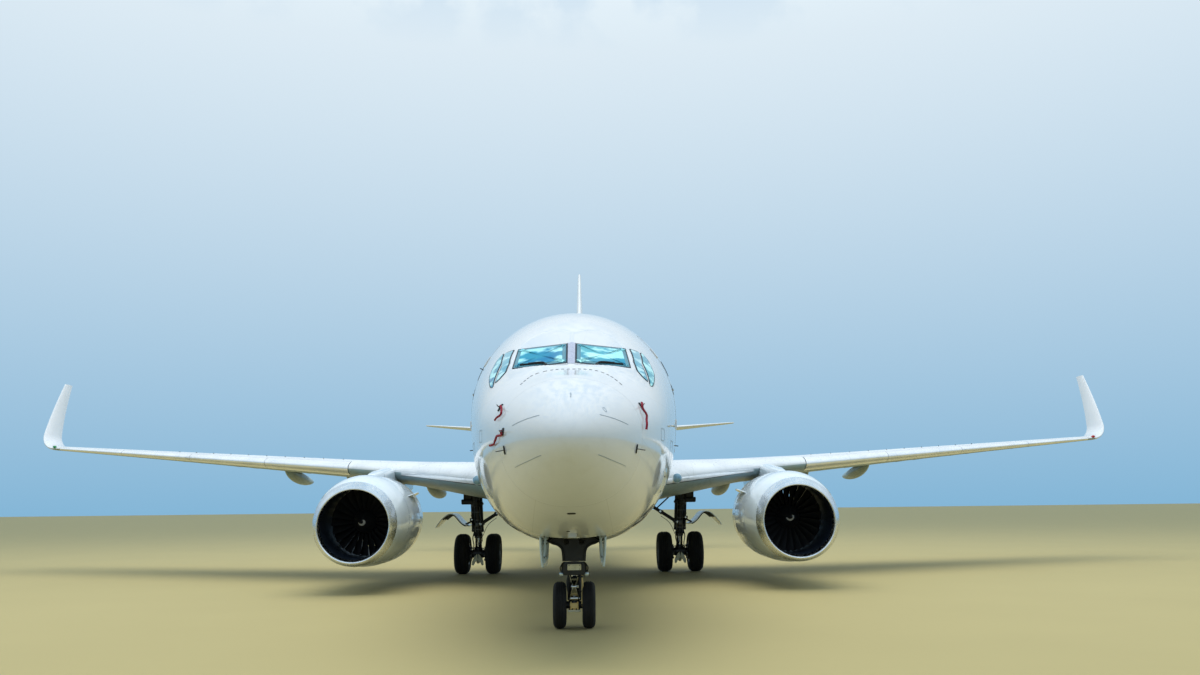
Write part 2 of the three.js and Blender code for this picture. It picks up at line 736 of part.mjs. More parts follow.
function elevatorHinge(x) {
  const [root, tip] = stabilizerSections;
  const t = (x - root[0]) / (tip[0] - root[0]);
  const station = root[1] + t * (tip[1] - root[1]) + elevatorZone.front * (root[3] + t * (tip[3] - root[3]));
  return [x, station, root[2] + t * (tip[2] - root[2])];
}

function elevatorPlan(gap) {
  const [inner, outer] = [elevatorZone.inner - gap, elevatorZone.outer + gap];
  return planPrism([
    [inner, elevatorHinge(inner)[1]],
    [outer, elevatorHinge(outer)[1]],
    [outer, overallLength + 500],
    [inner, overallLength + 500],
  ]);
}

const elevatorEnds = [elevatorHinge(elevatorZone.inner), elevatorHinge(elevatorZone.outer)];
const stabilizer = stabilizerFull
  .subtract(elevatorPlan(hingeEndGap))
  .subtract(hingeNose(...elevatorEnds, elevatorNose, hingeGap, noseEndGap));
const elevator = stabilizerFull
  .intersect(elevatorPlan(0).add(hingeNose(...elevatorEnds, elevatorNose)))
  .intersect(block([elevatorZone.inner, 0, 0], [elevatorZone.outer, overallLength, 8000]));
addPart('stabilizer_left', stabilizer, paintWhite);
addPart('stabilizer_right', mirrored(stabilizer), paintWhite);
addPart('elevator_left', elevator, paintWhite);
addPart('elevator_right', mirrored(elevator), paintWhite);

// Engine shapes turn about the fan's axis. Profiles: distance aft of the inlet's lip, radius
const inletProfile = [
  [0, 785], [55, 850], [200, 918], [450, 972], [850, 1020], [1400, 1048], [2350, 1042],
  [2350, 815], [1250, 792], [1000, 786], [500, 765], [150, 744], [30, 758],
];
const sleeveProfile = [
  [2362, 1041], [2900, 1008], [3400, 930], [3780, 836],
  [3780, 816], [3300, 858], [2700, 842], [2362, 830],
];
const coreProfile = [
  [1560, 0], [1560, 300], [1720, 420], [2400, 560], [3200, 600], [3800, 560], [4450, 425],
  [4650, 398], [4650, 382], [4470, 378], [4470, 262], [4700, 240], [5130, 60], [5160, 0],
];
const spinnerProfile = [
  [800, 0], [840, 45], [1000, 165], [1130, 245], [1180, 262], [1360, 270], [1360, 0],
];
const spinnerSides = 16;
const nacelleFlatness = 0.03;
const outerSkinRadius = 830;

function turned(profile, sides, closed) {
  const points = profile.map(([aft, radius]) => new THREE.Vector2(radius, aft));
  if (closed) points.push(points[0].clone());
  return new THREE.LatheGeometry(points, sides);
}

// The cowl droops towards its lip, and its outer skin is a little flatter underneath
function cowlSolid(profile, grow = 0) {
  const geometry = turned(profile, nacelleSides, true);
  const position = geometry.getAttribute('position');
  for (let i = 0; i < position.count; i += 1) {
    const aft = position.getY(i);
    const radius = Math.hypot(position.getX(i), position.getZ(i));
    const outside = THREE.MathUtils.clamp((radius - outerSkinRadius) / 150, 0, 1);
    const under = position.getZ(i) < 0 ? 1 - nacelleFlatness * outside : 1;
    const droop = inletDroop * Math.max(1 - aft / 1000, 0) ** 2;
    const spread = radius > outerSkinRadius ? 1 + grow / radius : 1;
    position.setXYZ(i, position.getX(i) * spread, aft, position.getZ(i) * under * spread - droop);
  }
  return toSolid(geometry);
}

// Fan blade. Columns: radius, chord, twist in degrees, thickness
const bladeSections = [
  [235, 170, 28, 22],
  [500, 215, 46, 15],
  [fanRadius, 235, 62, 9],
];
const bladeAft = 1250;

function fanBlade(turn) {
  const rings = bladeSections.map(([radius, chord, twist, thick]) => {
    const angle = THREE.MathUtils.degToRad(twist);
    const corners = [[-chord / 2, 0], [0, thick / 2], [chord / 2, 0], [0, -thick / 2]];
    return corners.map(([u, v]) => {
      const aft = u * Math.cos(angle) - v * Math.sin(angle);
      const across = u * Math.sin(angle) + v * Math.cos(angle);
      return new THREE.Vector3(across, bladeAft + aft, Math.sqrt(radius ** 2 - across ** 2));
    });
  });
  const geometry = toGeometry(loft(rings));
  return toSolid(geometry.rotateY(turn));
}

let fan = toSolid(turned(spinnerProfile, spinnerSides, false));
for (let i = 0; i < fanBladeCount; i += 1) {
  fan = fan.add(fanBlade((i / fanBladeCount) * 2 * Math.PI));
}

// Outlet struts hold the core inside the fan duct
const strutCount = 10;
let core = toSolid(turned(coreProfile, coreSides, false));
for (let i = 0; i < strutCount; i += 1) {
  const strut = new THREE.BoxGeometry(34, 230, 430).translate(0, 1900, 576);
  core = core.add(toSolid(strut.rotateY(((i + 0.5) / strutCount) * 2 * Math.PI)));
}

const inletCowl = cowlSolid(inletProfile);
const cowlSeat = cowlSolid(inletProfile, seatGap);
const sleeveSlot = block([-sleeveSlotHalfWidth, 2000, 0], [sleeveSlotHalfWidth, 4200, 1500]);
const sleeve = cowlSolid(sleeveProfile).subtract(sleeveSlot);

// Strake on the cowl's inboard side. Columns of its outline: distance aft of the lip, radius
const strakeOutline = [[1500, 1000], [2280, 1000], [2280, 1200], [2050, 1230], [1500, 1050]];
const strakeTurn = THREE.MathUtils.degToRad(50);
const strakeHalfThickness = 9;
const strakeUpright = sidePrism(shapeOf(strakeOutline), -strakeHalfThickness, strakeHalfThickness);
const strake = toSolid(toGeometry(strakeUpright).rotateY(-strakeTurn));
const inletWithStrake = inletCowl.add(strake);

// Pylon: its side outline, of station and height, within its plan outline, of x and station
const pylonSide = [
  [11150, 2440], [12320, 2440], [12320, 2000], [14050, 1960], [14650, 2010], [15300, 2100],
  [16900, 2400], [16900, 2660], [13900, 2830], [13350, 2850], [12200, 2720], [11500, 2610],
];
const pylonPlan = [
  [0, 11150], [90, 11500], [pylonHalfWidth, 12200], [pylonHalfWidth, 14700], [30, 16900],
  [-30, 16900], [-pylonHalfWidth, 14700], [-pylonHalfWidth, 12200], [-90, 11500],
];
const coreSeatProfile = coreProfile.map(([aft, radius]) => [aft, radius > 0 ? radius + seatGap : 0]);
const coreSeat = toSolid(turned(coreSeatProfile, coreSides, false));
const wingSeat = wingWithFairings.add(innerFlap);
const pylonBlank = sidePrism(shapeOf(pylonSide), -400, 400)
  .intersect(planPrism(pylonPlan))
  .subtract(moved(cowlSeat, 0, inletStation, engineHeight))
  .subtract(moved(coreSeat, 0, inletStation, engineHeight));
const pylon = clearOf(pylonBlank, moved(wingSeat, -engineX, 0, 0));

for (const [side, sign, place] of [['left', 1, (solid) => solid], ['right', -1, mirrored]]) {
  const position = [sign * engineX, inletStation, engineHeight];
  addPart(`inlet_cowl_${side}`, place(inletWithStrake), paintWhite, position);
  addPart(`reverser_sleeve_${side}`, place(sleeve), paintWhite, position);
  addPart(`fan_${side}`, fan, fanMetal, position);
  addPart(`engine_core_${side}`, core, hotMetal, position);
  addPart(`pylon_${side}`, place(pylon), paintWhite, [sign * engineX, 0, 0]);
}

// Wheels. Profiles: distance across from the middle over half the width, radius over the tyre's
const tyreProfile = [[0.35, 1], [0.85, 0.945], [1, 0.77], [0.86, 0.6], [0.78, 0.52],
  [-0.78, 0.52], [-0.86, 0.6], [-1, 0.77], [-0.85, 0.945], [-0.35, 1]];
const wheelProfile = [[0.8, 0.2], [0.8, 0.3], [0.5, 0.4], [0.76, 0.512],
  [-0.76, 0.512], [-0.5, 0.4], [-0.8, 0.3], [-0.8, 0.2]];

function wheelRing(profile, radius, width, sides) {
  const points = profile.map(([across, out]) => new THREE.Vector2(out * radius, (across * width) / 2));
  points.push(points[0].clone());
  const geometry = new THREE.LatheGeometry(points, sides);
  return toSolid(geometry.rotateZ(Math.PI / 2).rotateX(Math.PI / sides));
}

// A flat side of the tyre's many-sided outline rests on the ground
const flatReach = Math.cos(Math.PI / tyreSides);
const axleClearance = 12;

function addWheel(name, radius, width, x, station) {
  const position = [x, station, radius * flatReach];
  addPart(`${name}_tyre`, wheelRing(tyreProfile, radius, width, tyreSides), tyreRubber, position);
  addPart(`${name}_wheel`, wheelRing(wheelProfile, radius, width, wheelSides), wheelMetal, position);
}

for (const [side, sign] of [['left', 1], ['right', -1]]) {
  addWheel(`nose_${side}`, noseTyreRadius, noseTyreWidth, (sign * noseWheelSpacing) / 2, noseGearStation);
  for (const [place, offset] of [['outer', 0.5], ['inner', -0.5]]) {
    const x = sign * (mainGearX + offset * mainWheelSpacing);
    addWheel(`main_${side}_${place}`, mainTyreRadius, mainTyreWidth, x, mainGearStation);
  }
}

// A two-armed link in side view, from the upper joint out to the apex and back to the lower joint
function torqueLink(x, width, upper, apex, lower, thick) {
  const outline = [
    [upper[0], upper[1] + thick],
    [apex[0], apex[1] + thick],
    [apex[0] + thick * Math.sign(apex[0] - upper[0]), apex[1]],
    [apex[0], apex[1] - thick],
    [lower[0], lower[1] - thick],
    [lower[0], lower[1] + thick],
    [apex[0] - 1.6 * thick * Math.sign(apex[0] - upper[0]), apex[1]],
    [upper[0], upper[1] - thick],
  ];
  return sidePrism(shapeOf(outline), x - width / 2, x + width / 2);
}

// Main gear leg: cylinder, sliding piston, knuckle, axle, torque link and side strut as one fixed piece
const mainAxleHeight = mainTyreRadius * flatReach;
const mainAxleRadius = 0.2 * mainTyreRadius - axleClearance;
const axleReach = mainWheelSpacing / 2 + 0.42 * mainTyreWidth;
const mainCylinder = { low: 1060, high: 2700, radius: 125 };
const mainPistonRadius = 85;
const mainKnuckle = { halfLength: 115, radius: 150 };
const sideStrut = { outerHeight: 1310, innerX: 1320, innerHeight: 1900, radius: 62 };

function mainUpright(low, high, radius) {
  return bar([mainGearX, mainGearStation, low], [mainGearX, mainGearStation, high], radius);
}

function mainCross(reach, radius) {
  const ends = [-reach, reach].map((offset) => [mainGearX + offset, mainGearStation, mainAxleHeight]);
  return bar(...ends, radius);
}

const mainLink = torqueLink(
  mainGearX,
  110,
  [mainGearStation + 60, 1180],
  [mainGearStation + 380, 900],
  [mainGearStation + 60, 620],
  42,
);
const strutEnds = [
  [mainGearX, mainGearStation, sideStrut.outerHeight],
  [sideStrut.innerX, mainGearStation, sideStrut.innerHeight],
];
const mainLegBlank = mainUpright(mainCylinder.low, mainCylinder.high, mainCylinder.radius)
  .add(mainUpright(mainAxleHeight, mainCylinder.low + 40, mainPistonRadius))
  .add(mainCross(axleReach, mainAxleRadius))
  .add(mainCross(mainKnuckle.halfLength, mainKnuckle.radius))
  .add(mainLink)
  .add(bar(...strutEnds, sideStrut.radius))
  .subtract(fuselageSeat.subtract(bothWells))
  .subtract(fairingSeat.subtract(bothWells));
const mainLeg = clearOf(mainLegBlank, wingSeat);

// Main gear door: an arched plate outboard of the leg, held to it by a stay.
// Its outline in front view, of x and height, runs out along the top and back beneath
const legSeat = mainUpright(mainCylinder.low, mainCylinder.high, mainCylinder.radius + 2 * seatGap);
const mainDoorFront = mainGearStation - 560;
const mainDoorLength = 1250;
const mainDoorOutline = [
  [3100, 1350], [3220, 1395], [3340, 1500], [3450, 1630], [3560, 1690], [3700, 1660],
  [3830, 1565], [3950, 1440], [4060, 1310], [4035, 1290], [3925, 1418], [3805, 1538],
  [3690, 1622], [3565, 1652], [3475, 1602], [3365, 1475], [3240, 1362], [3110, 1315],
];
const mainDoorShape = new THREE.ExtrudeGeometry(
  shapeOf(mainDoorOutline),
  { depth: mainDoorLength, bevelEnabled: false },
);
const frontView = new THREE.Matrix4().makeBasis(
  new THREE.Vector3(1, 0, 0),
  new THREE.Vector3(0, 0, 1),
  new THREE.Vector3(0, -1, 0),
);
mainDoorShape.applyMatrix4(frontView).translate(0, mainDoorFront + mainDoorLength, 0);
const mainDoorPlate = toSolid(mainDoorShape);
const doorStayRadius = 30;
const doorStay = bar([3230, mainGearStation, 1385], [mainGearX, mainGearStation, 1500], doorStayRadius)
  .subtract(legSeat);
const mainDoor = mainDoorPlate.add(doorStay);
for (const [side, place] of [['left', (solid) => solid], ['right', mirrored]]) {
  addPart(`main_leg_${side}`, place(mainLeg), gearSteel);
  addPart(`main_gear_door_${side}`, place(mainDoor), paintWhite);
}

// Nose gear: the fixed leg with its drag brace and cross tubes
const noseAxleHeight = noseTyreRadius * flatReach;
const noseAxleRadius = 0.2 * noseTyreRadius - axleClearance;
const noseAxleReach = noseWheelSpacing / 2 + 0.42 * noseTyreWidth;
const steeringCollar = { low: 840, high: 980, radius: 100 };
const steeringGap = 10;
const nosePistonRadius = 62;
const noseKnuckle = { halfLength: 80, radius: 85 };
const braceStation = noseWell.front + 300;
const braceHeight = 1900;

function noseUpright(low, high, radius) {
  return bar([0, noseGearStation, low], [0, noseGearStation, high], radius);
}

function noseCross(reach, station, height, radius) {
  return bar([-reach, station, height], [reach, station, height], radius);
}

const noseLeg = noseUpright(steeringCollar.high + steeringGap, noseWell.roof - seatGap, 88)
  .add(bar([0, noseGearStation, 1200], [0, braceStation, braceHeight], 48))
  .add(noseCross(300, braceStation, braceHeight, 40))
  .add(noseCross(390, noseGearStation, 1700, 60));
addPart('nose_leg', noseLeg, gearSteel);

// The steered piston below it, with its axle, knuckle, torque link and tow fitting
const towFitting = block([-45, noseGearStation - 150, 300], [45, noseGearStation, 380]);
const noseLink = torqueLink(
  0,
  90,
  [noseGearStation - 60, 880],
  [noseGearStation - 250, 650],
  [noseGearStation - 50, 420],
  28,
);
const noseSteering = noseUpright(noseAxleHeight, steeringCollar.high - steeringGap, nosePistonRadius)
  .add(noseUpright(steeringCollar.low, steeringCollar.high, steeringCollar.radius))
  .add(noseCross(noseAxleReach, noseGearStation, noseAxleHeight, noseAxleRadius))
  .add(noseCross(noseKnuckle.halfLength, noseGearStation, noseAxleHeight, noseKnuckle.radius))
  .add(noseLink)
  .add(towFitting);
addPart('nose_steering', noseSteering, gearSteel);

// Nose gear doors hang at the well's sides
const noseDoorShape = shapeOf([[2700, 1500], [2780, 960], [4400, 930], [4460, 1420]]);
const noseDoor = sidePrism(noseDoorShape, noseWell.halfWidth + 12, noseWell.halfWidth + 40)
  .subtract(fuselageSeat);
addPart('nose_gear_door_left', noseDoor, paintWhite);
addPart('nose_gear_door_right', mirrored(noseDoor), paintWhite);

export default airliner;
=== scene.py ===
import json
import math

import bmesh
import bpy
import numpy as np
from mathutils import Matrix, Vector

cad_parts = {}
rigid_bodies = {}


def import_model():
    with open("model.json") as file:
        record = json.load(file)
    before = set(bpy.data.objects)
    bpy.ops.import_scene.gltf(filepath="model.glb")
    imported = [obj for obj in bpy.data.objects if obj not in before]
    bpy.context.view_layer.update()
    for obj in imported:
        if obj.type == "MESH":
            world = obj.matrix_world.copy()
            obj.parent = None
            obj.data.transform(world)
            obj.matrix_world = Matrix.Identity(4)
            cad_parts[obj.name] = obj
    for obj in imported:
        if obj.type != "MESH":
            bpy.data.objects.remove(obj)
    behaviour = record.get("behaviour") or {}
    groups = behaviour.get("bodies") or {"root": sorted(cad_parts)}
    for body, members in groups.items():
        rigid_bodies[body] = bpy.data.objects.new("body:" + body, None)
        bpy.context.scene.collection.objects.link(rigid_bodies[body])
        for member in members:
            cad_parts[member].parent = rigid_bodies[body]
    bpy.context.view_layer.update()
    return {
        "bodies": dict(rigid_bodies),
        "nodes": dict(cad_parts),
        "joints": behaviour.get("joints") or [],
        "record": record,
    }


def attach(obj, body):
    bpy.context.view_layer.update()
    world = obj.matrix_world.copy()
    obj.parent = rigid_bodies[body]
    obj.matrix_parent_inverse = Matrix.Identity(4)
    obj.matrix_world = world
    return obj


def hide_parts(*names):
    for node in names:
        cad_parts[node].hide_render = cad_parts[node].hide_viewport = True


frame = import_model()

print("frame loaded")

midStation = 16.815  # the origin is this far aft of the nose tip


cameraSet = {
    "place": (0.1694, -27.464, 1.7611),
    "focalPixels": 935.257,
    "imageWidth": 1200,
    "pitch": 0.1814,
    "yaw": 0.018,
    "roll": -0.0113,
}


def makeCamera():
    data = bpy.data.cameras.new("photoCamera")
    data.sensor_width = 36
    data.lens = 36 * cameraSet["focalPixels"] / cameraSet["imageWidth"]
    data.clip_end = 3000
    pitch, yaw, roll = (cameraSet[k] for k in ("pitch", "yaw", "roll"))
    forward = Vector((math.sin(yaw) * math.cos(pitch), math.cos(yaw) * math.cos(pitch), math.sin(pitch)))
    side = Vector((math.cos(yaw), -math.sin(yaw), 0))
    up = side.cross(forward)
    right = side * math.cos(roll) + up * math.sin(roll)
    top = up * math.cos(roll) - side * math.sin(roll)
    turn = Matrix((right, top, -forward)).transposed().to_4x4()
    turn.translation = Vector(cameraSet["place"])
    camera = bpy.data.objects.new("photoCamera", data)
    camera.matrix_world = turn
    bpy.context.scene.collection.objects.link(camera)
    bpy.context.scene.camera = camera


makeCamera()


class Mould:  # gathers grid surfaces into one mesh
    def __init__(self):
        self.points, self.faces, self.paints, self.total = [], [], [], 0

    # A grid of rows and columns of points becomes quads. The last column joins the first,
    # loop joins the last row to the first, and without it caps close the end rows. Faces
    # are turned outwards by the sign of the enclosed volume.
    def grid(self, table, loop=False, caps=(True, True), paint=0, keep=None, flip=None):
        table = np.asarray(table, float)
        rows, columns = table.shape[:2]
        index = np.arange(rows * columns).reshape(rows, columns)
        start, end = index[0], index[-1]
        index = np.hstack([index, index[:, :1]])
        if loop:
            index, caps = np.vstack([index, index[:1]]), (False, False)
        quads = np.stack([index[:-1, :-1], index[:-1, 1:], index[1:, 1:], index[1:, :-1]], -1)
        paints = np.zeros(quads.shape[:2], int) + np.asarray(paint)
        if keep is None:
            keep = np.ones(quads.shape[:2], bool)
        quads, paints = quads[keep], paints[keep]
        faces, capPaints = quads.tolist(), []
        for wanted, ring in ((caps[0], start[::-1]), (caps[1], end)):
            if wanted:
                faces.append(ring.tolist())
                capPaints.append(int(paints[0] if ring is not end else paints[-1]))
        flat = table.reshape(-1, 3)
        if flip is None:
            near = flat - flat.mean(0)
            a, b, c, d = (near[quads[:, k]] for k in range(4))
            volume = (a * np.cross(b, c)).sum() + (a * np.cross(c, d)).sum()
            for wanted, ring in ((caps[0], start[::-1]), (caps[1], end)):
                if wanted:
                    r = near[ring]
                    volume += (r[0] * np.cross(r[1:-1], r[2:])).sum()
            flip = volume < 0
        if flip:
            faces = [face[::-1] for face in faces]
        self.faces += [[k + self.total for k in face] for face in faces]
        self.paints += paints.tolist() + capPaints
        self.points.append(flat)
        self.total += len(flat)
        return self

    def mirrored(self):  # the same with x turned round, and the faces with it
        other = Mould()
        other.points = [p * np.array([-1, 1, 1]) for p in self.points]
        other.faces = [face[::-1] for face in self.faces]
        other.paints, other.total = list(self.paints), self.total
        return other

    def join(self, other):
        self.faces += [[k + self.total for k in face] for face in other.faces]
        self.paints += other.paints
        self.points += other.points
        self.total += other.total
        return self


# A mould becomes an object that rides a body. finish names its materials, and replaces the CAD node that it stands for.
def makePiece(name, mould, finish, replaces=None, body="airframe", smooth=32):
    mesh = bpy.data.meshes.new(name)
    mesh.from_pydata(np.vstack(mould.points).tolist(), [], mould.faces)
    mesh.polygons.foreach_set("material_index", mould.paints)
    closeDoubles(mesh)
    for key in finish.split():
        mesh.materials.append(paints[key])
    shadeSmooth(mesh, smooth)
    piece = bpy.data.objects.new(name, mesh)
    bpy.context.scene.collection.objects.link(piece)
    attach(piece, body)
    if replaces:
        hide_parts(replaces)
    return piece


# The same piece on the left and, mirrored, on the right
def makePair(name, mould, finish, replaces=None, body="airframe"):
    for hand, made in (("left", mould), ("right", mould.mirrored())):
        makePiece(f"{name}_{hand}", made, finish, replaces and f"{replaces}_{hand}", body.format(hand))


def shadeSmooth(mesh, angle):
    mesh.polygons.foreach_set("use_smooth", [True] * len(mesh.polygons))
    mesh.set_sharp_from_angle(angle=math.radians(angle))


def closeDoubles(mesh, distance=2e-6):
    work = bmesh.new()
    work.from_mesh(mesh)
    bmesh.ops.remove_doubles(work, verts=work.verts, dist=distance)
    bmesh.ops.dissolve_degenerate(work, edges=work.edges, dist=distance)
    work.to_mesh(mesh)
    work.free()


def unit(v):
    v = np.asarray(v, float)
    return v / np.maximum(np.linalg.norm(v, axis=-1, keepdims=True), 1e-12)


# A point from its x, its station aft of the nose, and its height
def at(x, station, z):
    return np.array([x, station - midStation, z], float)


def circle(radius, sides):
    a = np.arange(sides) * 2 * np.pi / sides
    return np.stack([np.cos(a), np.sin(a)], -1) * radius


# A section carried along a path: path point + across * side + rise * upward,
# where side is square to the path and to up. scale grows the section at each point.
def alongPath(path, section, up=(0, 0, 1), scale=None):
    path = np.asarray(path, float)
    tangent = unit(np.gradient(path, axis=0))
    side = unit(np.cross(tangent, np.asarray(up, float)))
    upward = np.cross(side, tangent)
    grow = np.ones(len(path)) if scale is None else np.asarray(scale, float)
    across = section[None, :, 0:1] * grow[:, None, None]
    rise = section[None, :, 1:2] * grow[:, None, None]
    return path[:, None] + across * side[:, None] + rise * upward[:, None]


def upFor(a, b):
    d = unit(np.subtract(b, a))
    return (0, 1, 0) if abs(d[2]) > 0.9 else (0, 0, 1)


# Straight round bar with slightly broken edges
def rod(mould, a, b, radius, endRadius=None, sides=20, paint=0, edge=0.12):
    a, b = np.asarray(a, float), np.asarray(b, float)
    endRadius = radius if endRadius is None else endRadius
    reach = np.linalg.norm(b - a)
    cut = min(edge * min(radius, endRadius), reach / 3) / reach
    t = np.array([0, cut, 1 - cut, 1])
    size = np.array([radius * (1 - edge), radius, endRadius, endRadius * (1 - edge)])
    path = a + t[:, None] * (b - a)
    grid = alongPath(path, circle(1, sides), upFor(a, b), size)
    mould.grid(grid, paint=paint)


# Bent tube: a circle carried along the smooth line through a few points
def tube(mould, points, radius, sides=10, steps=8, paint=0, up=(0, 0, 1)):
    path = smoothLine(points, steps)
    mould.grid(alongPath(path, circle(radius, sides), up), paint=paint)


# Catmull-Rom curve: each span blends four neighbouring points with cubic weights
def smoothLine(points, steps):
    p = np.asarray(points, float)
    if len(p) < 3:
        t = np.linspace(0, 1, steps + 1)[:, None]
        return p[0] + t * (p[1] - p[0])
    p = np.vstack([2 * p[0] - p[1], p, 2 * p[-1] - p[-2]])
    t = np.linspace(0, 1, steps, endpoint=False)[:, None]
    t2, t3 = t * t, t * t * t
    spans = [
        0.5 * (2 * p[i] + (p[i + 1] - p[i - 1]) * t + (2 * p[i - 1] - 5 * p[i] + 4 * p[i + 1] - p[i + 2]) * t2
               + (3 * p[i] - p[i - 1] - 3 * p[i + 1] + p[i + 2]) * t3)
        for i in range(1, len(p) - 2)
    ]
    return np.vstack(spans + [p[-2:-1]])


# Profile of (along, radius) turned about an axis through origin
def turned(mould, profile, origin, axis=(0, 1, 0), sides=48, paint=0, closed=False):
    profile = np.asarray(profile, float)
    axis = unit(axis)
    u = unit(np.cross(axis, (0, 0, 1) if abs(axis[2]) < 0.9 else (0, 1, 0)))
    v = np.cross(axis, u)
    c = circle(1, sides)
    ring = c[:, :1] * u + c[:, 1:] * v
    grid = (np.asarray(origin, float) + profile[:, None, :1] * axis + profile[:, None, 1:] * ring[None])
    mould.grid(grid, loop=closed, paint=paint)


# A profile whose second half mirrors the first
def bothEnds(half):
    return np.vstack([half, np.array(half[::-1]) * [-1, 1]])


# Flat outline of (u, v) given thickness along w, with broken edges
def slab(mould, outline, origin, u, v, thickness, edge=0.004, paint=0):
    outline = np.asarray(outline, float)
    centre = outline.mean(0)
    reach = np.linalg.norm(outline - centre, axis=1).max()
    u, v = unit(u), unit(v)
    w = np.cross(u, v)
    half = thickness / 2
    rows = [(-half, 1 - edge / reach), (-half + edge, 1), (half - edge, 1), (half, 1 - edge / reach)]
    grid = np.stack([
        np.asarray(origin, float) + (centre + (outline - centre) * size) @ np.stack([u, v]) + w * lift
        for lift, size in rows
    ])
    mould.grid(grid, paint=paint)


def brick(mould, low, high, edge=0.008, paint=0):
    low, high = np.asarray(low, float), np.asarray(high, float)
    e = edge
    (x0, y0, z0), (x1, y1, z1) = low, high
    outline = [(x0 + e, y0), (x1 - e, y0), (x1, y0 + e), (x1, y1 - e),
               (x1 - e, y1), (x0 + e, y1), (x0, y1 - e), (x0, y0 + e)]
    slab(mould, outline, (0, 0, (z0 + z1) / 2), (1, 0, 0), (0, 1, 0), z1 - z0, edge, paint)


def addNode(tree, kind, inputs=None, **settings):
    node = tree.nodes.new(kind)
    for key, value in settings.items():
        setattr(node, key, value)
    for key, value in (inputs or {}).items():
        socket = node.inputs[key]
        if isinstance(value, bpy.types.NodeSocket):
            tree.links.new(value, socket)
        else:
            socket.default_value = value
    return node


def rampNode(tree, value, low, high, start=0.0, end=1.0):
    node = addNode(tree, "ShaderNodeMapRange", {0: value, 1: low, 2: high, 3: start, 4: end})
    return node.outputs[0]


def mixColour(tree, factor, a, b):
    node = addNode(tree, "ShaderNodeMix", data_type="RGBA")
    for key, value in ((0, factor), (6, a), (7, b)):
        if isinstance(value, bpy.types.NodeSocket):
            tree.links.new(value, node.inputs[key])
        elif key == 0:
            node.inputs[0].default_value = value
        else:
            node.inputs[key].default_value = (*value, 1)
    return node.outputs[2]


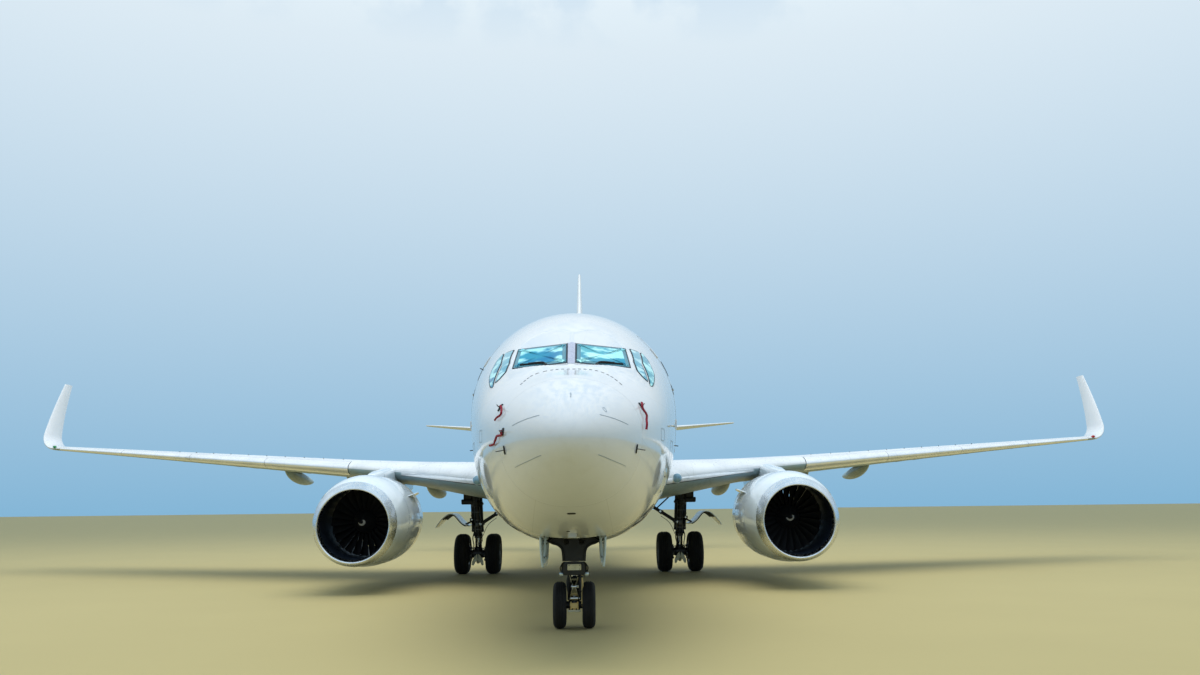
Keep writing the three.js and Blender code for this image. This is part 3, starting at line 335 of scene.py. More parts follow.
# Two colours and grime, then roughness from and to, metal, coat, pattern's scale, grime's share, bump
finishes = {
    "bodyPaint": ((0.67, 0.69, 0.72), (0.63, 0.655, 0.685), (0.4, 0.39, 0.34),
        0.1, 0.2, 0, 0.8, 0.7, 0.16, 0.02),
    "wingPaint": ((0.66, 0.69, 0.71), (0.58, 0.61, 0.64), (0.3, 0.28, 0.25),
        0.25, 0.42, 0, 0.2, 1.1, 0.4, 0.02),
    # underside of the wings, flaps and track fairings, dark blue-grey: painted shade beneath the wing
    "underPaint": ((0.24, 0.35, 0.4), (0.27, 0.33, 0.31), (0.1, 0.1, 0.08),
        0.3, 0.5, 0, 0.1, 1.3, 0.5, 0.02),
    "cowlPaint": ((0.68, 0.76, 0.82), (0.6, 0.69, 0.76), (0.3, 0.27, 0.22),
        0.12, 0.24, 0, 0.7, 1.2, 0.3, 0.02),
    "lipMetal": ((0.78, 0.81, 0.84), (0.66, 0.7, 0.74), (0.3, 0.29, 0.28),
        0.16, 0.34, 1.0, 0, 3.0, 0.3, 0.03),
    "slatMetal": ((0.92, 0.92, 0.93), (0.84, 0.85, 0.87), (0.35, 0.33, 0.3),
        0.12, 0.25, 0.6, 0, 2.0, 0.25, 0.02),
    "linerPaint": ((0.015, 0.025, 0.045), (0.01, 0.016, 0.03), (0.02, 0.02, 0.025),
        0.3, 0.5, 0.3, 0, 6.0, 0.4, 0.1),
    "fanMetal": ((0.012, 0.013, 0.016), (0.008, 0.009, 0.011), (0.01, 0.01, 0.012),
        0.45, 0.6, 0.4, 0, 8.0, 0.4, 0.03),
    "spinnerPaint": ((0.01, 0.011, 0.013), (0.007, 0.007, 0.009),
        (0.06, 0.055, 0.05), 0.35, 0.55, 0, 0, 9.0, 0.3, 0.03),
    "markPaint": ((0.62, 0.63, 0.64), (0.5, 0.5, 0.5), (0.3, 0.3, 0.3),
        0.4, 0.6, 0, 0, 20.0, 0.3, 0.02),
    "hotMetal": ((0.34, 0.29, 0.25), (0.2, 0.19, 0.21), (0.1, 0.08, 0.07),
        0.3, 0.5, 0.95, 0, 2.5, 0.5, 0.03),
    # gear enamel darkened nearly to black: painted shade of the gear under the body, not the enamel's own grey
    "gearPaint": ((0.02, 0.021, 0.023), (0.012, 0.013, 0.014), (0.05, 0.045, 0.035),
        0.3, 0.5, 0.2, 0, 9.0, 0.3, 0.05),
    # lining of the wheel wells and the inside of the gear doors, nearly black: painted shade inside the wells
    "bayPaint": ((0.045, 0.05, 0.045), (0.03, 0.033, 0.03), (0.02, 0.02, 0.018),
        0.45, 0.65, 0, 0, 5.0, 0.6, 0.05),
    "doorPaint": ((0.55, 0.66, 0.72), (0.46, 0.56, 0.62), (0.25, 0.24, 0.2),
        0.2, 0.34, 0, 0.3, 4.0, 0.35, 0.03),
    "pistonChrome": ((0.72, 0.74, 0.76), (0.6, 0.62, 0.65), (0.2, 0.19, 0.17),
        0.08, 0.16, 1.0, 0, 6.0, 0.3, 0.01),
    "wheelPaint": ((0.16, 0.165, 0.17), (0.1, 0.105, 0.11), (0.05, 0.045, 0.04),
        0.3, 0.5, 0.4, 0, 10.0, 0.6, 0.03),
    "tyreRubber": ((0.003, 0.003, 0.0032), (0.006, 0.006, 0.006),
        (0.045, 0.042, 0.035), 0.8, 0.95, 0, 0, 14.0, 0.3, 0.12),
    "paleFitting": ((0.85, 0.82, 0.62), (0.7, 0.67, 0.5), (0.1, 0.09, 0.07),
        0.35, 0.55, 0.1, 0, 14.0, 0.5, 0.04),
    "amberFitting": ((0.9, 0.66, 0.26), (0.78, 0.55, 0.2), (0.12, 0.09, 0.05),
        0.35, 0.55, 0, 0, 14.0, 0.5, 0.04),
    "hoseBlack": ((0.008, 0.008, 0.009), (0.016, 0.016, 0.017), (0.04, 0.035, 0.03),
        0.4, 0.6, 0, 0, 30.0, 0.3, 0.1),
    "sealRubber": ((0.012, 0.03, 0.045), (0.008, 0.02, 0.03), (0.05, 0.06, 0.07),
        0.4, 0.6, 0, 0, 25.0, 0.3, 0.05),
    "panelLine": ((0.28, 0.34, 0.4), (0.22, 0.28, 0.34), (0.15, 0.14, 0.12),
        0.4, 0.6, 0, 0, 25.0, 0.4, 0.03),
    "probeMetal": ((0.2, 0.2, 0.21), (0.12, 0.12, 0.13), (0.06, 0.05, 0.05),
        0.25, 0.45, 0.9, 0, 18.0, 0.4, 0.03),
    "windowGlass": ((0.02, 0.2, 0.4), (0.05, 0.4, 0.5), (0.2, 0.26, 0.28),
        0.03, 0.08, 0.25, 0, 2.2, 0.1, 0.004),
    "glassEdge": ((0.1, 0.27, 0.34), (0.08, 0.22, 0.28), (0.12, 0.16, 0.18),
        0.1, 0.2, 0.1, 0, 6.0, 0.15, 0.01),
    # the side panes' glass: the same glass made paler, a painted reflection of the bright sky
    "sideGlass": ((0.22, 0.52, 0.62), (0.14, 0.42, 0.55), (0.2, 0.26, 0.28),
        0.03, 0.08, 0.3, 0, 2.2, 0.1, 0.004),
    "postPaint": ((0.44, 0.46, 0.58), (0.4, 0.42, 0.53), (0.2, 0.2, 0.22),
        0.2, 0.35, 0, 0.3, 5.0, 0.2, 0.02),
    "cabinGlass": ((0.035, 0.045, 0.055), (0.05, 0.06, 0.07), (0.12, 0.13, 0.13),
        0.04, 0.1, 0, 0, 6.0, 0.15, 0.004),
    "lampGlass": ((0.62, 0.7, 0.74), (0.5, 0.6, 0.66), (0.3, 0.3, 0.3),
        0.03, 0.1, 0.6, 0, 16.0, 0.2, 0.01),
    "blueLens": ((0.22, 0.36, 0.45), (0.16, 0.28, 0.36), (0.2, 0.22, 0.24),
        0.05, 0.14, 0.4, 0, 9.0, 0.25, 0.01),
    "redLens": ((0.5, 0.02, 0.02), (0.36, 0.015, 0.015), (0.15, 0.02, 0.02),
        0.05, 0.15, 0, 0, 12.0, 0.3, 0.01),
    "greenLens": ((0.02, 0.3, 0.1), (0.015, 0.22, 0.08), (0.02, 0.1, 0.05),
        0.05, 0.15, 0, 0, 12.0, 0.3, 0.01),
    "ribbonRed": ((0.26, 0.003, 0.02), (0.2, 0.002, 0.015), (0.25, 0.02, 0.03),
        0.6, 0.8, 0, 0, 40.0, 0.35, 0.1),
    "aerialPaint": ((0.5, 0.52, 0.54), (0.42, 0.44, 0.46), (0.2, 0.19, 0.17),
        0.3, 0.5, 0, 0, 9.0, 0.35, 0.02),
}
finishes["radomePaint"] = finishes["bodyPaint"]  # the same paint, but for its seams
patterns = {  # panel seams and rivets, the liner's holes in metres apart, and a painted reflection of pale clouds in the glass
    "bodyPaint": {"panels": "body"},
    "wingPaint": {"panels": "wing"},
    "underPaint": {"panels": "wing"},
    "slatMetal": {"panels": "wing"},
    "linerPaint": {"holes": 0.012},
    "windowGlass": {"clouds": (0.5, 0.95, 0.95)},
    "sideGlass": {"clouds": (0.55, 0.85, 0.9)},
}


# Colour drifts between two tones by a large noise, grime gathers where a second noise is
# high, and roughness and bump follow a fine noise. All read Object coordinates, in metres.
def makeMaterial(name, colour, other, grime, smoothest, roughest, metal, coat, scale, grimeShare, bump,
                 panels=None, holes=None, clouds=None):
    material = bpy.data.materials.new(name)
    material.use_nodes = True
    tree = material.node_tree
    shader = tree.nodes["Principled BSDF"]
    place = addNode(tree, "ShaderNodeTexCoord").outputs["Object"]

    def noise(size, detail, vector=place):
        return addNode(tree, "ShaderNodeTexNoise", {"Vector": vector, "Scale": size, "Detail": detail}).outputs["Fac"]

    def calc(operation, a, b=0.0):
        return addNode(tree, "ShaderNodeMath", {0: a, 1: b}, operation=operation).outputs[0]

    # thin lines where a coordinate, over its spacing, is near a whole number
    def lineMask(value, spacing, width, offset=0.0):
        share = calc("DIVIDE", calc("ADD", value, offset), spacing)
        away = calc("ABSOLUTE", calc("SUBTRACT", share, calc("ROUND", share)))
        return rampNode(tree, away, 0.5 * width / spacing, 1.2 * width / spacing, 1, 0)

    large, fine = noise(scale, 4.0), noise(scale * 9, 6.0)
    shade = mixColour(tree, rampNode(tree, large, 0.35, 0.65), colour, other)
    patch = calc("MULTIPLY", rampNode(tree, fine, 0.52, 0.72), rampNode(tree, large, 0.4, 0.75))
    shade = mixColour(tree, calc("MULTIPLY", patch, grimeShare), shade, grime)
    height = calc("MULTIPLY", fine, 0.3)
    if clouds:  # painted reflection: pale streaks, drawn out sideways, standing for a cloudy sky mirrored in the glass
        drawn = addNode(tree, "ShaderNodeMapping", {"Vector": place, "Scale": (0.45, 0.8, 1.6)}).outputs[0]
        shade = mixColour(tree, rampNode(tree, noise(5.5, 5.0, drawn), 0.47, 0.58), shade, clouds)
    if panels:
        axes = addNode(tree, "ShaderNodeSeparateXYZ", {0: place}).outputs
        if panels == "body":  # rings along the body, and lines at angles about its middle height
            turn = calc("ARCTAN2", axes[0], calc("SUBTRACT", axes[2], 3.52))
            lines = calc("MAXIMUM", lineMask(axes[1], 3.05, 0.006, 0.42), lineMask(turn, 0.5236, 0.0022, 0.2618))
            rivets = calc("MULTIPLY", lineMask(axes[1], 0.508, 0.012, 0.1), lineMask(turn, 0.02, 0.006))
        else:  # lines across the wing, and along its sweep
            swept = calc("SUBTRACT", axes[1], calc("MULTIPLY", calc("ABSOLUTE", axes[0]), 0.4))
            lines = calc("MAXIMUM", lineMask(axes[0], 1.55, 0.006, 0.3), lineMask(swept, 0.82, 0.006, 0.2))
            rivets = calc("MULTIPLY", lineMask(axes[0], 0.31, 0.012), lineMask(swept, 0.035, 0.011))
        seen = calc("MULTIPLY", calc("MAXIMUM", lines, calc("MULTIPLY", rivets, 0.35)), 0.32)
        shade = mixColour(tree, seen, shade, tuple(c * 0.5 for c in colour))
        height = calc("SUBTRACT", height, calc("MULTIPLY", calc("MAXIMUM", lines, rivets), 0.4))
    if holes:
        cells = addNode(tree, "ShaderNodeTexVoronoi", {"Vector": place, "Scale": 1 / holes})
        hole = rampNode(tree, cells.outputs["Distance"], 0.15, 0.3, 1, 0)
        shade = mixColour(tree, calc("MULTIPLY", hole, 0.4), shade, (0.004, 0.005, 0.006))
        height = calc("SUBTRACT", height, hole)
    tree.links.new(shade, shader.inputs["Base Color"])
    tree.links.new(rampNode(tree, fine, 0.3, 0.7, smoothest, roughest), shader.inputs["Roughness"])
    relief = addNode(tree, "ShaderNodeBump", {"Height": height, "Strength": min(1.0, bump * 6), "Distance": 0.0015})
    tree.links.new(relief.outputs[0], shader.inputs["Normal"])
    shader.inputs["Metallic"].default_value = metal
    shader.inputs["Coat Weight"].default_value = coat
    shader.inputs["Coat Roughness"].default_value = 0.05
    return material


paints = {name: makeMaterial(name, *row, **patterns.get(name, {})) for name, row in finishes.items()}
print("materials made")


stageSet = {
    "floorSize": 1500, "floorColour": (0.4, 0.335, 0.15), "floorOther": (0.37, 0.31, 0.138),
    "horizon": (0.235, 0.47, 0.68), "haze": (0.72, 0.83, 0.91), "hazeTop": 0.46,  # the haze is whole at this sine
    "zenith": (0.3, 0.58, 0.88), "cloud": (1.15, 1.25, 1.25), "cloudScale": 16.0,
    "lightHeight": 42, "lightSize": 44, "lightPower": 16500, "lightColour": (1.0, 0.97, 0.93),
}


def makeStage():
    half = stageSet["floorSize"]
    mesh = bpy.data.meshes.new("floor")
    mesh.from_pydata([(-half, -half, 0), (half, -half, 0), (half, half, 0), (-half, half, 0)], [], [(0, 1, 2, 3)])
    material = bpy.data.materials.new("floorPale")
    material.use_nodes = True
    tree = material.node_tree
    place = addNode(tree, "ShaderNodeTexCoord").outputs["Object"]
    noise = addNode(tree, "ShaderNodeTexNoise", {"Vector": place, "Scale": 0.35, "Detail": 8.0})
    shade = mixColour(tree, noise.outputs["Fac"], stageSet["floorColour"], stageSet["floorOther"])
    shader = tree.nodes["Principled BSDF"]
    tree.links.new(shade, shader.inputs["Base Color"])
    shader.inputs["Roughness"].default_value = 0.85
    mesh.materials.append(material)
    floor = bpy.data.objects.new("floor", mesh)
    bpy.context.scene.collection.objects.link(floor)

    world = bpy.data.worlds.new("studioSky")
    bpy.context.scene.world = world
    world.use_nodes = True
    tree = world.node_tree
    place = addNode(tree, "ShaderNodeTexCoord")
    axes = addNode(tree, "ShaderNodeSeparateXYZ", {0: place.outputs["Generated"]})
    clouds = addNode(tree, "ShaderNodeTexNoise", {"Vector": place.outputs["Generated"],
                                                  "Scale": stageSet["cloudScale"], "Detail": 5.0})
    high = mixColour(tree, rampNode(tree, clouds.outputs["Fac"], 0.42, 0.56), stageSet["zenith"], stageSet["cloud"])
    low = mixColour(tree, rampNode(tree, axes.outputs[2], 0.0, stageSet["hazeTop"]), stageSet["horizon"],
                    stageSet["haze"])
    sky = mixColour(tree, rampNode(tree, axes.outputs[2], stageSet["hazeTop"], 0.8), low, high)
    tree.links.new(sky, tree.nodes["Background"].inputs["Color"])

    light = bpy.data.lights.new("softLight", "AREA")
    light.shape, light.size, light.energy = "DISK", stageSet["lightSize"], stageSet["lightPower"]
    light.color = stageSet["lightColour"]
    lamp = bpy.data.objects.new("softLight", light)
    lamp.location = (0, -4, stageSet["lightHeight"])
    lamp.visible_glossy = False
    bpy.context.scene.collection.objects.link(lamp)


makeStage()
bpy.context.scene.view_settings.view_transform = "Standard"
print("stage set")


# Columns: station, crown, belly, half width, waist, roundness of the lower half (1 is an ellipse)
noseRows = np.array([
    [0.0, 2.58, 2.58, 0.0, 2.58, 1.0],
    [0.25, 2.945, 2.255, 0.425, 2.605, 0.97],
    [1.0, 3.36, 1.85, 0.845, 2.69, 0.9],
    [2.0, 3.715, 1.5, 1.205, 2.84, 0.84],
    [2.5, 4.11, 1.38, 1.33, 2.93, 0.83],
    [3.0, 4.385, 1.31, 1.43, 3.02, 0.83],
    [4.0, 4.78, 1.245, 1.59, 3.18, 0.83],
    [5.0, 5.055, 1.24, 1.712, 3.32, 0.84],
    [6.0, 5.25, 1.25, 1.812, 3.43, 0.86],
    [7.0, 5.36, 1.27, 1.865, 3.49, 0.88],
    [8.0, 5.4, 1.29, 1.88, 3.52, 0.9],
])
tailRows = np.array([
    [8.0, 5.4, 1.29, 1.88, 3.52, 0.9],
    [20.0, 5.4, 1.39, 1.88, 3.52, 1.0],
    [22.0, 5.4, 1.52, 1.872, 3.545, 1.0],
    [24.0, 5.395, 1.96, 1.79, 3.7, 1.0],
    [26.0, 5.37, 2.57, 1.6, 3.98, 1.0],
    [28.0, 5.32, 3.235, 1.29, 4.29, 1.0],
    [30.0, 5.23, 3.91, 0.86, 4.57, 1.0],
    [31.5, 5.13, 4.39, 0.48, 4.76, 1.0],
    [32.18, 5.065, 4.64, 0.212, 4.852, 1.0],
])
body = {
    "radomeEnd": 1.12, "joint": 0.0012, "noseEnd": 8.0,
    "noseWell": (2.56, 4.62, 0.4, 2.06),  # front, back, half width, roof
    "bellyWell": (13.4, 20.2, 1.86),
    "tailConeStart": 31.35, "length": 32.18, "outletRadius": 0.13, "outletHeight": 4.852,
    "bottomColumns": 8, "sideColumns": 112,
}


# Cubic pieces through a table's column. The slope at each row is that of the line between
# its neighbours, and over the nose the curve runs in the square root of the station.
def smoothColumn(table, column, station, rooted):
    knots = np.sqrt(table[:, 0]) if rooted else table[:, 0]
    values = table[:, column]
    at = np.clip(np.sqrt(np.maximum(station, 0)) if rooted else station, knots[0], knots[-1])
    i = np.clip(np.searchsorted(knots, at) - 1, 0, len(knots) - 2)
    order = np.arange(len(knots))
    low, high = np.maximum(order - 1, 0), np.minimum(order + 1, len(knots) - 1)
    slope = (values[high] - values[low]) / (knots[high] - knots[low])
    width = knots[i + 1] - knots[i]
    t = (at - knots[i]) / width
    return ((2 * t**3 - 3 * t**2 + 1) * values[i] + (t**3 - 2 * t**2 + t) * width * slope[i]
            + (3 * t**2 - 2 * t**3) * values[i + 1] + (t**3 - t**2) * width * slope[i + 1])


def bodySection(station):
    station = np.asarray(station, float)
    nose = [smoothColumn(noseRows, c, station, True) for c in (1, 2, 3, 4, 5)]
    tail = [smoothColumn(tailRows, c, station, False) for c in (1, 2, 3, 4, 5)]
    inNose = station < body["noseEnd"]
    return [np.where(inNose, n, t) for n, t in zip(nose, tail)]


# Half an ellipse above the waist and a fuller curve below it: x = half width * sin to the power
# of the roundness, z = waist + reach * cos to that power
def bodyPoint(station, angle):
    crown, belly, half, waist, power = bodySection(station)
    upper = np.cos(angle) > 0
    reach, power = np.where(upper, crown - waist, waist - belly), np.where(upper, 1, power)
    x = half * np.sign(np.sin(angle)) * np.abs(np.sin(angle)) ** power
    z = waist + reach * np.sign(np.cos(angle)) * np.abs(np.cos(angle)) ** power
    return np.stack(np.broadcast_arrays(x, station - midStation, z), -1)


# The curve's other coordinate, both as shares of the half axes
def acrossCurve(share, power):
    return np.clip(1 - np.abs(share) ** (2 / power), 0, 1) ** (power / 2)


windshield = {
    # inner and outer corner of the flat pane's base, and its upper outer corner: station, x
    "flat": ((2.01, 0.045), (2.33, 0.85), (2.79, 0.805)), "blend": 0.05, "end": 3.9,
    "front": ((0.024, 0.03), (0.842, -0.02), (0.974, 0.582), (0.212, 0.634)),  # along and up the pane's flat
    # station, height
    "side": ((2.335, 3.665), (2.3, 3.56), (2.325, 3.495), (2.37, 3.545), (2.7, 3.86), (3.09, 4.055), (2.885, 4.07),
        (2.48, 3.805)),
    "aft": ((2.32, 3.47), (2.33, 3.435), (2.39, 3.45), (2.7, 3.6), (2.86, 3.69), (3.17, 3.95), (3.2, 4.055),
        (3.13, 4.05), (2.73, 3.835)),
    "seal": 0.018, "edge": 0.05, "lift": 0.007,
    "wiper": ((0.33, 0.005), (0.37, 0.045), (0.46, 0.06), (0.6, 0.062)), "wiperLifts": (0.02, 0.034, 0.036, 0.03),
    "blade": ((0.36, 0.052), (0.54, 0.066), (0.74, 0.058)),
    "post": (2.03, 2.57, 0.05, 0.056),  # station of its foot and top, half width there
}


# The front pane's plane: its inner corner, the directions along and up it, and its normal
def paneFrame(side=1):
    def top(station, x):
        crown, _, half, waist, _ = bodySection(station)
        return np.array([x, station - midStation, waist + (crown - waist) * math.sqrt(1 - (x / half) ** 2)])

    inner, outer, upper = (top(*corner) for corner in windshield["flat"])
    along = unit(outer - inner)
    normal = unit(np.cross(along, upper - inner))
    normal = normal if normal[2] > 0 else -normal
    upwards = unit(np.cross(normal, along))
    upwards = upwards if upwards[2] > 0 else -upwards
    turn = np.array([side, 1, 1])
    return inner * turn, along * turn, upwards * turn, normal * turn


# The rounded nose is brought in to the panes' planes, along the line from each ring's
# centre, more and more over the blend's length above each pane's base
def flattenPanes(points, station):
    if np.min(station) > windshield["end"]:
        return points
    waist = bodySection(station)[3]
    centre = np.stack(np.broadcast_arrays(0.0, station - midStation, waist), -1)
    share = np.ones(points.shape[:-1])
    for side in (1, -1):
        origin, along, upwards, normal = paneFrame(side)
        rise, run, outside = ((points - origin) @ way for way in (upwards, along, normal))
        inside = (centre - origin) @ normal
        reach = np.clip(-inside / np.maximum(outside - inside, 1e-6), 0, 1)
        weight = np.clip(1 + rise / windshield["blend"], 0, 1)
        weight = weight * weight * (3 - 2 * weight)
        within = (outside > 0) & (inside < 0) & (run > -1.1) & (run < 1.9) & (rise < 1.4)
        share = np.where(within, np.minimum(share, 1 - weight * (1 - reach)), share)
    return centre + (points - centre) * share[..., None]


# Square to the lines through neighbouring points along and across
def normalOf(place, a, b, step=0.006):
    along, across = place(a + step, b) - place(a - step, b), place(a, b + step) - place(a, b - step)
    return unit(np.cross(along, across))


# A point on the skin at a height, on side +1 or -1, and the outward normal there
def skinAt(side, station, height):
    station, height = np.broadcast_arrays(np.asarray(station, float), np.asarray(height, float))

    def place(s, h):
        crown, belly, half, waist, power = bodySection(s)

        def round(h):
            share = (h - waist) / np.where(h > waist, crown - waist, waist - belly)
            return np.stack([side * half * acrossCurve(share, np.where(h > waist, 1, power)), s - midStation, h], -1)

        spot = round(h)
        flat = flattenPanes(spot, s)
        # the flats lower a point, so it starts that much higher
        return spot if flat is spot else flattenPanes(round(2 * h - flat[..., 2]), s)

    return place(station, height), normalOf(place, station, height) * side


# The same for a station and an x on the upper half (+1) or the lower half (-1)
def skinOver(half, station, x):
    station, x = np.broadcast_arrays(np.asarray(station, float), np.asarray(x, float))

    def place(s, across):
        crown, belly, wide, waist, power = bodySection(s)
        reach = crown - waist if half > 0 else waist - belly
        z = waist + half * reach * acrossCurve(across / wide, 1 if half > 0 else power)
        return flattenPanes(np.stack([across, s - midStation, z], -1), s)

    return place(station, x), -normalOf(place, station, x) * half


# Columns run from the belly over one side to the crown and down the other. One column on
# each side keeps to the nose well's edge.
def bodyGrid(stations):
    stations = np.asarray(stations, float)[:, None]
    half, power = bodySection(stations)[2], bodySection(stations)[4]
    share = np.minimum(body["noseWell"][2] / np.maximum(half, 1e-3), 1) ** (1 / power)
    edge = np.arcsin(np.minimum(share, math.sin(math.radians(20))))
    low = np.linspace(0, 1, body["bottomColumns"], endpoint=False)
    high = np.linspace(0, 1, body["sideColumns"] + 1)
    right = np.hstack([np.pi - edge * low, (np.pi - edge) * (1 - high)])
    angles = np.hstack([right, -right[:, ::-1][:, 1:-1]])
    points = bodyPoint(stations, angles)
    return flattenPanes(points, stations)


def makeFuselage():
    radomeStations = np.linspace(0, 1, 44) ** 2 * (body["radomeEnd"] - body["joint"])
    mould = Mould().grid(bodyGrid(radomeStations), caps=(False, True))
    makePiece("radome_skin", mould, "radomePaint", "radome")

    wellFront, wellBack, _, wellRoof = body["noseWell"]
    bellyFront, bellyBack, _ = body["bellyWell"]
    stations = np.unique(np.round(np.concatenate([
        np.linspace(body["radomeEnd"] + body["joint"], 1.9, 14), np.linspace(1.9, 3.5, 81),
        np.linspace(3.5, 8.0, 46), np.linspace(8, 20, 25), np.linspace(20, body["tailConeStart"] - 0.004, 60),
        [wellFront, wellBack, bellyFront, bellyBack],
    ]), 5))
    grid = bodyGrid(stations)
    columns = grid.shape[1]
    low = body["bottomColumns"]
    middle = (stations[:-1] + stations[1:]) / 2
    column = np.arange(columns)
    fromBelly = np.minimum(column + 0.5, columns - column - 0.5)
    overWell = ((middle > wellFront) & (middle < wellBack))[:, None] & (fromBelly < low)[None]
    bellyColumns = low + 26
    overBelly = ((middle > bellyFront) & (middle < bellyBack))[:, None] & (fromBelly < bellyColumns)[None]
    mould = Mould().grid(grid, keep=~(overWell | overBelly))
    for (front, back, roof), reach in (((wellFront, wellBack, wellRoof), low), (body["bellyWell"], bellyColumns)):
        rows = np.where((stations >= front - 1e-4) & (stations <= back + 1e-4))[0]
        patch = grid[rows][:, np.arange(-reach, reach + 1)]
        ring = np.vstack([patch[0], patch[1:-1, -1], patch[-1, ::-1], patch[1:-1, 0][::-1]])
        top = ring.copy()
        top[:, 2] = roof
        mould.grid(np.stack([ring, top]), caps=(False, True), flip=False, paint=1)
    makePiece("fuselage_skin", mould, "bodyPaint bayPaint", "fuselage")

    stations = np.linspace(body["tailConeStart"] + 0.004, body["length"], 14)
    grid = bodyGrid(stations)
    centre = np.array([0, body["length"] - midStation, body["outletHeight"]])
    out = unit((grid[-1] - centre) * [1, 0, 1])
    inner = [centre + out * body["outletRadius"] + np.array([0, aft, 0]) for aft in (0.0, -0.02, -0.349)]
    mould = Mould().grid(np.concatenate([grid, np.stack(inner)]))
    makePiece("tail_cone_skin", mould, "lipMetal", "tail_cone")


makeFuselage()
print("fuselage made")


# Corners rounded by a quadratic curve, with points along the straight edges too
def roundedOutline(corners, radius, cornerSteps=5, edgeSteps=4):
    corners = np.asarray(corners, float)
    before, after = np.roll(corners, 1, 0), np.roll(corners, -1, 0)
    start = corners + unit(before - corners) * radius
    end = corners + unit(after - corners) * radius
    t = np.linspace(0, 1, cornerSteps)[:, None]
    e = np.linspace(0, 1, edgeSteps + 2)[1:-1, None]
    parts = []
    for k in range(len(corners)):
        parts.append((1 - t) ** 2 * start[k] + 2 * t * (1 - t) * corners[k] + t**2 * end[k])
        parts.append(end[k] + e * (start[(k + 1) % len(corners)] - end[k]))
    return np.vstack(parts)


def roundedBox(centreU, centreV, width, height, radius, cornerSteps=5, edgeSteps=4):
    w, h = width / 2, height / 2
    corners = [(centreU - w, centreV - h), (centreU + w, centreV - h), (centreU + w, centreV + h),
               (centreU - w, centreV + h)]
    return roundedOutline(corners, radius, cornerSteps, edgeSteps)


# An outline moved outwards by a distance, along the normals of its own neighbours' line
def offsetOutline(outline, distance):
    tangent = unit(np.roll(outline, -1, 0) - np.roll(outline, 1, 0))
    area = (outline[:, 0] * np.roll(outline[:, 1], -1) - np.roll(outline[:, 0], -1) * outline[:, 1]).sum()
    outward = np.stack([tangent[:, 1], -tangent[:, 0]], -1) * (1 if area > 0 else -1)
    return outline + outward * distance


# A closed patch on the skin. Rows are (outline's offset, lift); the patch closes to its middle
def skinPatch(mould, place, outline, rows, paint=0, steps=3):
    outline = np.asarray(outline, float)
    centre = outline.mean(0)
    flatRows = [(centre + (outline - centre) * 1e-4, rows[0][1]), (offsetOutline(outline, rows[0][0]), rows[0][1])]
    for out, lift in rows[1:]:
        flatRows.append((offsetOutline(outline, out), lift))
    last, lift = flatRows[-1]
    for k in range(1, steps + 1):
        size = max(1 - k / steps, 1e-4)
        flatRows.append((centre + (last - centre) * size, lift))
    grid = []
    for flat, rise in flatRows:
        point, normal = place(flat[:, 0], flat[:, 1])
        grid.append(point + normal * rise)
    mould.grid(grid, paint=paint)


# A thin raised line along an open path, or a closed ring round an outline
def skinLine(mould, place, path, width=0.012, lift=0.0016, paint=0, closed=False):
    path = np.asarray(path, float)
    if closed:
        out, inner = offsetOutline(path, width / 2), offsetOutline(path, -width / 2)
    else:
        tangent = unit(np.gradient(path, axis=0))
        across = np.stack([-tangent[:, 1], tangent[:, 0]], -1) * width / 2
        out, inner = path + across, path - across
    columns = []
    for flat, rise in ((out, -0.006), (out, lift), (inner, lift), (inner, -0.006)):
        point, normal = place(flat[:, 0], flat[:, 1])
        columns.append(point + normal * rise)
    mould.grid(np.stack(columns, 1), loop=closed, paint=paint)


def onSide(side):
    return lambda s, z: skinAt(side, s, z)


def onTop(half):
    return lambda s, x: skinOver(half, s, x)


# One point and its normal on such a surface
def spotOn(place, a, b):
    point, normal = place(np.array([a]), np.array([b]))
    return point[0], normal[0]


# A flat pane: its outline in the flat's own two directions, carried on the flat's plane
def onFlat(side):
    origin, along, upwards, normal = paneFrame(side)

    def place(a, b):
        point = origin + a[..., None] * along + b[..., None] * upwards
        return point, np.broadcast_to(normal, point.shape)

    return place


